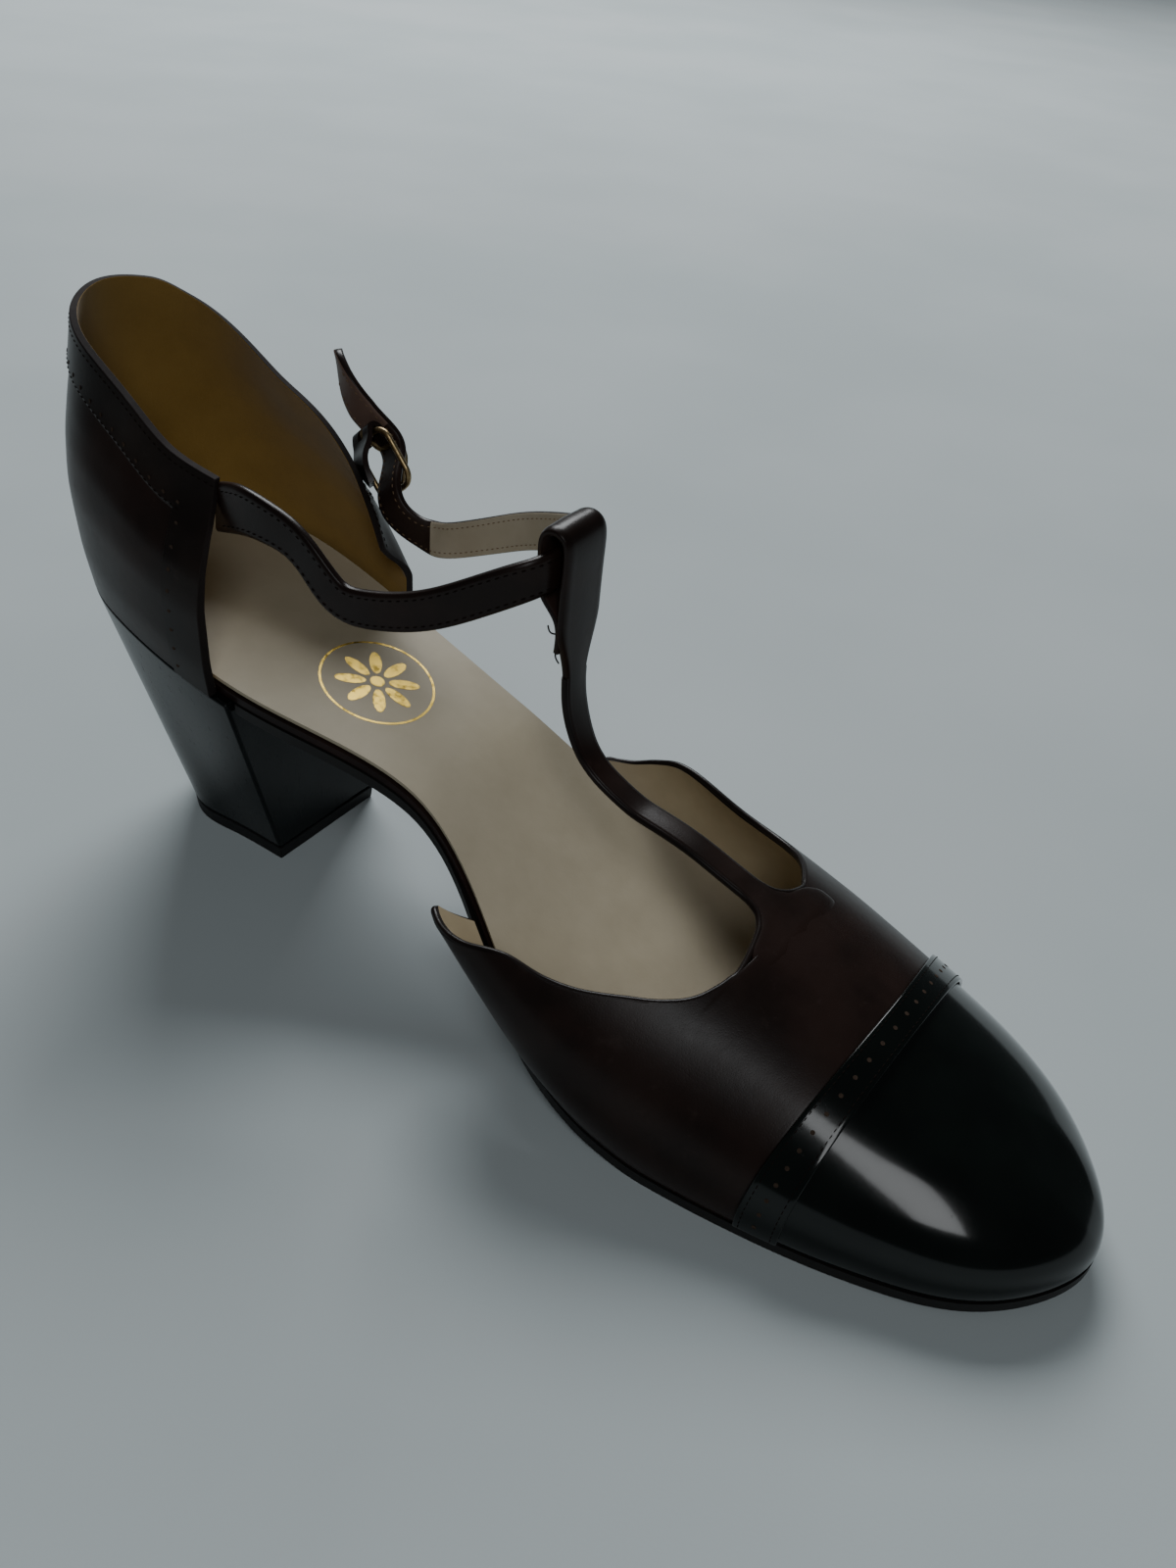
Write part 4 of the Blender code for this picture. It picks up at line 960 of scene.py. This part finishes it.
def slab_piece(name, line, drop, thick, finish, slot_name, node, rows, edge):
    """A sheet that follows the foot bed: its edges, its depth under the bed and its thickness."""
    def surface(u, v):
        inner, outer = line(u)
        flat = inner + (outer - inner) * v[:, None]
        return np.column_stack([flat, bed_height(flat[:, 0]) - drop])

    bm = bent(COLUMNS, rows, surface)
    sunk = bmesh.ops.extrude_face_region(bm, geom=list(bm.faces))
    lower = [g for g in sunk["geom"] if isinstance(g, bmesh.types.BMVert)]
    stations = np.array([v.co.x / MM + ORIGIN[0] for v in lower])
    for vert, z in zip(lower, (bed_height(stations) - (drop + thick)) * MM):
        vert.co.z = z
    set_normals(bm)
    piece(name, bm, [finish], slot_name, node, edge=edge)


def make_bottom():
    """Sock, insole and outsole."""
    sole_edges = edge_pair(-SOLE_MARGIN, BREAST + GAP)

    def tucked(u):
        """The outsole's edges, drawn in under the waist."""
        inner, outer = sole_edges(u)
        tuck = np.outer(WAIST_TUCK * read(WAIST, 1, inner[:, 0] / LENGTH), (0, 1))
        return inner + tuck, outer - tuck

    slab_piece("sock_lining", edge_pair(CAP_WALL + GAP + SOCK_MARGIN), 0, SOCK, SOCK_LEATHER,
               "sock_leather", "sock", rows=26, edge=0.3)
    slab_piece("insole_board", edge_pair(CAP_WALL + GAP), SOCK + GAP, INSOLE, RIM_LEATHER,
               "board", "insole", rows=16, edge=0.7)
    slab_piece("leather_sole", tucked, FEATHER_DROP + GAP, OUTSOLE, SOLE_LEATHER,
               "sole_leather", "outsole", rows=16, edge=0.5)


def heel_block(name, high_ring, low_ring, high_level, low_level, finish, slot_name, node, rows, edge):
    """A block round a rear curve and a straight breast, ruled between two outlines."""
    curved_share = 0.84

    def level(ring, height, u):
        ends = ring(np.array([0.0, 1.0]))
        back = np.clip((u - curved_share) / (1 - curved_share), 0, 1)[:, None]
        curved = ring(np.clip(u / curved_share, 0, 1))
        flat = np.where(u[:, None] <= curved_share, curved, ends[1] + (ends[0] - ends[1]) * back)
        return np.column_stack([flat, height(flat[:, 0]) if callable(height) else np.full(len(u), height)])

    def surface(u, v):
        top, foot = level(high_ring, high_level, u), level(low_ring, low_level, u)
        return top + (foot - top) * v[:, None]

    bm = bent(COLUMNS, rows, surface)
    bmesh.ops.holes_fill(bm, edges=[e for e in bm.edges if e.is_boundary], sides=0)
    set_normals(bm)
    piece(name, bm, [finish], slot_name, node, edge=edge, sharp=50)


def make_heel():
    def floor_line(shares):
        return tip_line(0, shares)

    heel_block("heel_cover", seat_line, floor_line, lambda station: bed_height(station) - FEATHER_DROP - GAP,
               TOP_PIECE + GAP, HEEL_LEATHER, "heel_leather", "heel", rows=26, edge=HEEL_ROUND)
    heel_block("heel_top_piece", floor_line, lambda shares: tip_line(TIP_MARGIN, shares), TOP_PIECE, 0.0,
               TOP_RUBBER, "rubber", "top_piece", rows=4, edge=EDGE_ROUND)


def make_vamp():
    """Vamp with its two wings, lined, and the binding along its topline."""
    edge = CAP_SEAM + GAP / 2 / SIDE_LENGTH
    both = bmesh.new()
    for side in (-1, 1):
        def surface(u, v, side=side):
            share = wing_share(side, edge * throat_columns(u), edge)
            top = read(TOPLINE[side], 1, share)
            low = np.minimum(top, 0.55)
            up = np.where(v < 0.6, v / 0.6 * low, low + (v - 0.6) / 0.4 * (top - low))
            return forepart(side, share, up)
        patch = bent(COLUMNS, 44, surface)
        mesh = bpy.data.meshes.new("patch")
        patch.to_mesh(mesh)
        patch.free()
        both.from_mesh(mesh)
        bpy.data.meshes.remove(mesh)
    bmesh.ops.remove_doubles(both, verts=both.verts, dist=0.02 * MM)
    set_normals(both)
    face_away(both, (0.72 * LENGTH, 0, INSTEP_HEIGHT / 2))
    rippled(both, RIPPLE)
    piece("vamp_leather", both, [BROWN, VAMP_LINING, BINDING_LEATHER], "brown_leather", "vamp",
          thick=UPPER_WALL, edge=EDGE_ROUND)
    flat = t_middle()
    run = np.linspace(0, 1, len(flat))
    for side, highest, first in BINDING_TURN:
        shares = np.linspace(TOPLINE[side][0][0], TOPLINE[side][-1][0], 400)
        ups = read(TOPLINE[side], 1, shares)
        rise = np.linspace(0.02, 1, 12)[:-1] * ups[0]
        shares = np.concatenate([np.full(len(rise), shares[0]), shares[ups < highest]])
        ups = np.concatenate([rise, ups[ups < highest]])
        here, out = normals_of(lambda a, b: forepart(side, a, b), shares, ups, (0.72 * LENGTH, 0, 0))
        upper = at_shares(here - out * UPPER_WALL / 2, np.linspace(0, 1, 46))
        strap = [(x, side * (w / 2 - 0.35), z - d * (w / 2) ** 2)
                 for (x, _, z), w, d in zip(flat, t_widths(run), t_sag(run))]
        strap = at_shares(np.array(strap)[(run > first) & (run < BINDING_END)], np.linspace(0, 1, 34))
        line = smooth_line(np.vstack([upper, strap]), np.linspace(0, 1, STEPS))
        grow("brown_leather", "topline_binding", [line], CORD, BINDING_LEATHER)


def t_middle():
    """Middle line of the T-strap; its root lies level with the vamp and its very end inside the wall."""
    run = np.linspace(0, 1, 300)
    flat = smooth_line(t_points(), run)
    lift = follow((0, 0.012, 0.048, 0.09, 0.14, 1), (-0.6, -0.6, 0.24, 0.22, 0, 0), run)
    return np.column_stack([flat[:, 0], np.zeros(len(flat)), flat[:, 1] + lift])


def t_sag(run):
    return T_SAG * follow((0, 0.10, 0.20, 1), (1, 1, 0, 0), run)


def oval_ring(thick, crown, bead):
    """Section of a strap, flat below and crowned above with beaded edges."""
    angle = np.linspace(0, 2 * math.pi, RING_POINTS, endpoint=False)
    across = np.sign(np.cos(angle)) * np.abs(np.cos(angle)) ** 0.4
    high = np.sign(np.sin(angle)) * np.abs(np.sin(angle)) ** 0.4 * thick / 2
    lift = crown * (1 - across ** 2) + bead * np.exp(-((np.abs(across) - 0.80) / 0.10) ** 2)
    lining = np.sin(angle) < -0.55
    return across, high, np.where(high > 0, lift, 0), lining


def lofted(path, wide, outward, widths, ring, sag=0, rise=1, backs=1, bury=0):
    """Closed strap body along a path: sag and bury press its sides down, rise scales its crown."""
    across, flat, lift, lining = ring
    count = len(across)
    sag, rise, backs, bury = (np.broadcast_to(value, len(path)) for value in (sag, rise, backs, bury))
    bm = bmesh.new()
    rows = []
    for k in range(len(path)):
        off = across * widths[k] / 2
        places = path[k] + np.outer(off, wide[k]) + np.outer(flat + lift * rise[k], outward[k])
        places[:, 2] -= sag[k] * off ** 2 + bury[k] * across ** 6
        rows.append([bm.verts.new(co) for co in placed(places)])
    for back, low, high_row in zip(backs, rows, rows[1:]):
        for j in range(count):
            n = (j + 1) % count
            face = bm.faces.new((low[j], low[n], high_row[n], high_row[j]))
            face.material_index = int(back) if lining[j] or lining[n] else 0
    for row in (rows[0], rows[-1]):
        bm.faces.new(row)
    set_normals(bm)
    return bm


def rounded_end(widths, path, reach):
    """Narrows a strap over its last millimetres to a rounded tip."""
    run = lengths(path)
    left = np.clip((run[-1] - run) / reach, 0, 1)
    return widths * np.sqrt(np.clip(1 - (1 - left) ** 2, 0.02, 1))


def make_t_strap():
    """T-strap: up the instep, round the ankle strap and down inside, with its frayed end."""
    path = t_middle()
    run = np.linspace(0, 1, len(path))
    wide = np.tile((0.0, 1.0, 0.0), (len(path), 1))
    outward = np.cross(wide, directions(path))
    rise = follow((0, 0.09, 0.16, 1), (0, 0, 1, 1), run)
    bury = follow((0, 0.025, 0.042, 1), (0.6, 0.5, 0, 0), run)
    widths = t_widths(run) * follow((0, 0.055, 0.075, 0.088, 1), (1.25, 1.25, 1.15, 1, 1), run)
    ring = oval_ring(T_WALL, 0.30, 0.10)
    bm = lofted(path, wide, outward, widths, ring, t_sag(run), rise, bury=bury)
    piece("t_strap", bm, [BROWN, STRAP_BACK], "brown_leather", sharp=60)
    frays = (((-1.0, -3.6, 3.0), (-1.6, -4.6, 3.6), (-2.0, -4.9, 5.0)),
             ((-0.8, -3.0, 0.2), (-1.0, -3.4, -1.6), (-0.4, -3.0, -3.2)),
             ((-0.8, 1.2, 0.1), (-1.1, 1.6, -1.2), (-0.7, 1.2, -2.0)))
    lines = [smooth_line(path[-1] + fray, np.linspace(0, 1, 12)) for fray in frays]
    grow("brown_leather", "loose_threads", lines, CORD, DARK_THREAD, Radius=0.16 * MM, Sides=6)


def make_toe_cap():
    start = CAP_SEAM + GAP / 2 / SIDE_LENGTH

    def surface(u, v):
        outer, way = fold_sides(u)
        return both_sides(outer, start + (1 - start) * way, v)

    bm = face_away(bent(TOE_COLUMNS, 44, surface), (0.88 * LENGTH, 0, 12))
    rippled(bm, RIPPLE, 17.0, 1.2)
    piece("patent_toe_cap", bm, [PATENT, VAMP_LINING, PATENT], "black_patent", "toe_cap",
          thick=CAP_WALL, edge=EDGE_ROUND)


def make_cap_band():
    """Raised strip over the cap's seam, with a fine row of stitches at each edge and dark discs of painted
    shade in place of its perforations.
    """
    core = (CAP_BAND_FRONT * LENGTH, 0, 5)
    bm = face_away(bent(TOE_COLUMNS, 8, band_surface), core)
    piece("patent_cap_band", bm, [PATENT], "black_patent", "cap_band", thick=BAND_WALL, edge=EDGE_ROUND)
    run = lengths(band_surface(np.linspace(0.03, 0.97, 400), np.full(400, 0.42)))[-1]
    places = np.linspace(0.03, 0.97, int(run / HOLE_SPACING) + 1)
    here, out = normals_of(band_surface, places, np.full(len(places), 0.45), core)
    grow("black_patent", "band_perforations", [here], HOLES, HOLE_SHADE, out)
    rows = []
    for row in (0.13, 0.85):
        here, out = normals_of(band_surface, np.linspace(0.01, 0.99, 300), np.full(300, row), core)
        rows.append(here + out * 0.03)
    grow("black_patent", "band_stitches", rows, STITCHES, DARK_THREAD, Spacing=1.3 * MM)


def double_wall(columns, rows, outer, inner, zone, lining, rim):
    """A wall between two bent grids of the same count, closed round its edges."""
    u, v = np.meshgrid(np.linspace(0, 1, columns + 1), np.linspace(0, 1, rows + 1), indexing="ij")
    bm = bmesh.new()
    sheets = [[bm.verts.new(co) for co in placed(face(u.ravel(), v.ravel()))] for face in (outer, inner)]
    tall = rows + 1
    for i in range(columns):
        for j in range(rows):
            corners = (i * tall + j, (i + 1) * tall + j, (i + 1) * tall + j + 1, i * tall + j + 1)
            front = bm.faces.new([sheets[0][k] for k in corners])
            front.material_index = zone((i + 0.5) / columns, (j + 0.5) / rows)
            bm.faces.new([sheets[1][k] for k in corners[::-1]]).material_index = lining
    border = [i * tall for i in range(columns + 1)] + [columns * tall + j for j in range(1, tall)]
    border += [i * tall + rows for i in range(columns - 1, -1, -1)] + list(range(rows - 1, 0, -1))
    for here, there in zip(border, border[1:] + border[:1]):
        edge = (sheets[0][here], sheets[1][here], sheets[1][there], sheets[0][there])
        bm.faces.new(edge).material_index = rim
    set_normals(bm)
    return bm


def collar_rise(share):
    """Height of the quarter's wall over its foot."""
    return collar_height(share) - bed_height(quarter_foot(share)[0][:, 0]) + FEATHER_DROP


def collar_line(inset, lift, share):
    """Along the collar band, inset millimetres from the topline."""
    return quarter(share, 1 - inset / collar_rise(share), BAND_STEP + lift)


def make_quarter():
    """Quarter with its collar band, lined with suede, and along the band its stitches and dark discs of
    painted shade in place of holes.
    """
    around = lengths(quarter_foot(np.linspace(0, 1, 200))[0])[-1]
    front, ramp = COLLAR_BAND / around, BAND_STEP / around
    columns, low_rows, band_rows, first = 176, 40, 12, 10
    rows, last = low_rows + band_rows + 1, columns - first

    def surface(u, v):
        turn = np.rint(u * columns)
        share = np.interp(turn, (0, first, first + 1, last - 1, last, columns),
                          (0.0, front, front + ramp, 1 - front - ramp, 1 - front, 1.0))
        tall = collar_rise(share)
        edge = np.maximum(1 - COLLAR_BAND / tall, 0.15)
        row, step = np.rint(v * rows), BAND_STEP / tall
        band = edge + step + (1 - edge - step) * (row - low_rows - 1) / band_rows
        up = np.where(row <= low_rows, edge * row / low_rows, band)
        proud = np.where((row > low_rows) | (turn <= first) | (turn >= last), BAND_STEP, 0.0)
        return quarter(share, up, proud)

    def lining(u, v):
        """The inner face follows the collar band with a long, soft swell in place of its step."""
        share = np.interp(np.rint(u * columns), (0, first, last, columns), (0.0, front, 1 - front, 1.0))
        swell = follow((0, 0.45, 0.85, 1), (0, 0, 1, 1), v)
        return quarter(share, v, BAND_STEP * swell - UPPER_WALL)

    def zone(u, v):
        return int(v * rows > low_rows or u * columns < first + 1 or u * columns > last - 1)

    bm = double_wall(columns, rows, surface, lining, zone, 2, 3)
    piece("quarter_leather", bm, [BROWN, COLLAR_LEATHER, SUEDE, HEM], "brown_leather", "quarter",
          edge=EDGE_ROUND)

    start, inset = front * 0.9, COLLAR_BAND - 1.7
    ends = np.linspace(start, 1 - start, 300)
    run = lengths(collar_line(inset, 0, ends))[-1]
    share = np.linspace(start, 1 - start, int(run / BAND_HOLE_SPACING) + 1)
    points, facing = [collar_line(inset, 0, share)], [quarter_foot(share)[1]]
    for place in (front * 0.82, 1 - front * 0.82):
        tall = float(collar_rise(np.array([place]))[0])
        ups = np.arange(3.0, tall - COLLAR_BAND - 1, BAND_HOLE_SPACING) / tall
        share = np.full(len(ups), place)
        points.append(quarter(share, ups, BAND_STEP))
        facing.append(quarter_foot(share)[1])
    points, facing = np.vstack(points), np.vstack(facing)
    facing = np.column_stack([facing, np.full(len(facing), 0.22)])
    grow("brown_leather", "collar_perforations", [points], HOLES, HOLE_SHADE, facing)
    rim = np.linspace(0.004, 0.996, 300)
    seams = [collar_line(COLLAR_BAND - 0.7, 0.03, ends), collar_line(1.3, 0.03, rim)]
    grow("brown_leather", "collar_stitches", seams, STITCHES, DARK_THREAD, Spacing=1.5 * MM)


def strap_frames():
    """The ankle strap's path, widths and directions, closely spaced."""
    path, widths = strap_line()
    run = np.linspace(0, 1, STEPS)
    path = smooth_line(np.vstack([path[0] + 2.6 * unit(path[0] - path[1]), path[1:]]), run)
    widths = np.interp(run, np.linspace(0, 1, len(widths)), widths)
    along = directions(path)

    def turned(wide, towards, share):
        share = np.clip(share, 0, 1)[:, None]
        return wide * (1 - share) + np.array(towards) * share

    wide = turned(np.array([0.0, 0.0, 1.0]), -buckle_frame_axes()[3], (run - 0.66) / 0.10)
    wide = turned(wide, TAIL_WIDE, (run - TAIL_START) / (1 - TAIL_START))
    wide = unit(wide - along * np.sum(wide * along, axis=1)[:, None])
    outward = np.cross(along, wide)
    return path, widths, turned(wide, (0.12, 0.0, 1.0), 1 - run / 0.07), outward


def make_ankle_strap():
    """Ankle strap: dark calf outside, cream lining, a stitched row along each edge."""
    path, widths, wide, outward = strap_frames()
    run = np.linspace(0, 1, len(path))
    backs = 1 + np.searchsorted(STRAP_BACKS, run, side="right")
    ring = oval_ring(STRAP_WALL, 0.12, 0.14)
    bm = lofted(path, wide, outward, rounded_end(widths, path, 4.0), ring, backs=backs)
    piece("ankle_strap_leather", bm, [BROWN, STRAP_LINING, STRAP_BACK, TAIL_LINING], "brown_leather",
          "ankle_strap", sharp=60)
    inner, outer = [], []
    for edge in (-0.68, 0.68):
        line = path + wide * (edge * widths / 2)[:, None]
        inner.append((line - outward * (STRAP_WALL / 2 + 0.02))[6:-14])
        outer.append((line + outward * (STRAP_WALL / 2 + 0.20))[6:-14])
    grow("brown_leather", "strap_lining_stitches", inner, STITCHES, TAN_THREAD, Length=0.8 * MM)
    grow("brown_leather", "strap_stitches", outer, STITCHES, DARK_THREAD)


def make_buckle():
    """Brass frame as a smooth round ring; prong and tab keep their CAD forms."""
    middle, along, _, across = buckle_frame_axes()
    half_long = FRAME_LENGTH / 2
    half_wide = STRAP_WIDTH / 2 + BAR / 2 + FRAME_ROOM
    ring = []
    for sx, sy, first in ((1, 1, 0), (-1, 1, 90), (-1, -1, 180), (1, -1, 270)):
        for turn in np.radians(first + np.linspace(0, 90, 9)):
            a = sx * (half_long - FRAME_CORNER) + FRAME_CORNER * math.cos(turn)
            b = sy * (half_wide - FRAME_CORNER) + FRAME_CORNER * math.sin(turn)
            ring.append(middle + a * along + b * across)
    ring.append(ring[0])
    grow("brass", "brass_frame", [np.array(ring)], CORD, BRASS, nodes=["buckle_frame"], Radius=BAR / 2 * MM,
         Sides=18)


def make_ornament():
    """Gold foil rosette on the sock: petals round a dot inside a thin ring."""
    centre = np.array([0.30 * LENGTH, 0.0])
    petals, reach, ring = 8, 9.0, 11.5
    bm = bmesh.new()

    def circle(count):
        angles = np.linspace(0, 2 * math.pi, count, endpoint=False)
        return np.column_stack([np.cos(angles), np.sin(angles)])

    def patch(flat):
        flat = centre + flat
        return [bm.verts.new(co) for co in placed(np.column_stack([flat, bed_height(flat[:, 0]) + 0.04]))]

    for ray in circle(petals):
        far, off = circle(14).T[:, :, None]
        bm.faces.new(patch(ray * (0.62 + 0.36 * far) * reach + sideways(ray[None]) * 1.3 * off))
    bm.faces.new(patch(1.5 * circle(15)))
    inner, outer = patch(ring * circle(72)), patch((ring + 0.5) * circle(72))
    for j in range(72):
        bm.faces.new((inner[j - 1], outer[j - 1], outer[j], inner[j]))
    set_normals(bm)
    for face in bm.faces:
        if face.normal.z < 0:
            face.normal_flip()
    piece("gold_rosette", bm, [FOIL], "sock_leather")


def finish_cad_nodes():
    """Gives the CAD nodes that stay their finish."""
    for node, finish in (("buckle_prong", BRASS), ("buckle_tab", BROWN)):
        made = bpy.data.objects[node]
        for slot in made.material_slots:
            slot.link = "OBJECT"
            slot.material = finish.material


def make_stage():
    """Pale floor, soft light from above and both sides, and the photograph's camera."""
    bm = bmesh.new()
    bmesh.ops.create_grid(bm, x_segments=2, y_segments=2, size=3.0)
    floor = mesh_object("floor", bm, [cloth_floor("pale_sheet")])
    world = bpy.data.worlds.new("soft_room")
    bpy.context.scene.world = world
    world.use_nodes = True
    back = world.node_tree.nodes["Background"]
    back.inputs["Color"].default_value = (0.72, 0.80, 0.86, 1.0)
    back.inputs["Strength"].default_value = 0.07
    for name, place, size, power in LIGHTS:
        lamp = bpy.data.lights.new(name, "AREA")
        lamp.shape = "RECTANGLE"
        lamp.size, lamp.size_y = size
        lamp.energy = power
        lamp.color = (0.95, 0.98, 1.0)
        made = linked(name, lamp)
        made.location = place
        made.rotation_euler = (-mathutils.Vector(place)).to_track_quat("-Z", "Y").to_euler()
    make_camera()


def make_camera():
    sin_a, cos_a = math.sin(CAMERA_AZIMUTH), math.cos(CAMERA_AZIMUTH)
    sin_h, cos_h = math.sin(CAMERA_HEIGHT), math.cos(CAMERA_HEIGHT)
    back = np.array([sin_a * cos_h, -cos_a * cos_h, sin_h])
    right = np.array([cos_a, sin_a, 0.0])
    up = np.cross(back, right)
    c, s = math.cos(CAMERA_ROLL), math.sin(CAMERA_ROLL)
    rolled = np.array([c * right + s * up, c * up - s * right, back])
    place = placed(CAMERA_EYE)
    data = bpy.data.cameras.new("photo_view")
    data.sensor_width = FRAME_WIDTH
    data.lens = CAMERA_LENS
    data.clip_start = 0.01
    camera = linked("photo_view", data)
    camera.matrix_world = mathutils.Matrix([(*rolled[:, k], place[k]) for k in range(3)] + [(0, 0, 0, 1)])
    bpy.context.scene.camera = camera


make_stage()
make_bottom()
make_heel()
make_vamp()
make_t_strap()
make_toe_cap()
make_cap_band()
make_quarter()
make_ankle_strap()
make_buckle()
make_ornament()
finish_cad_nodes()
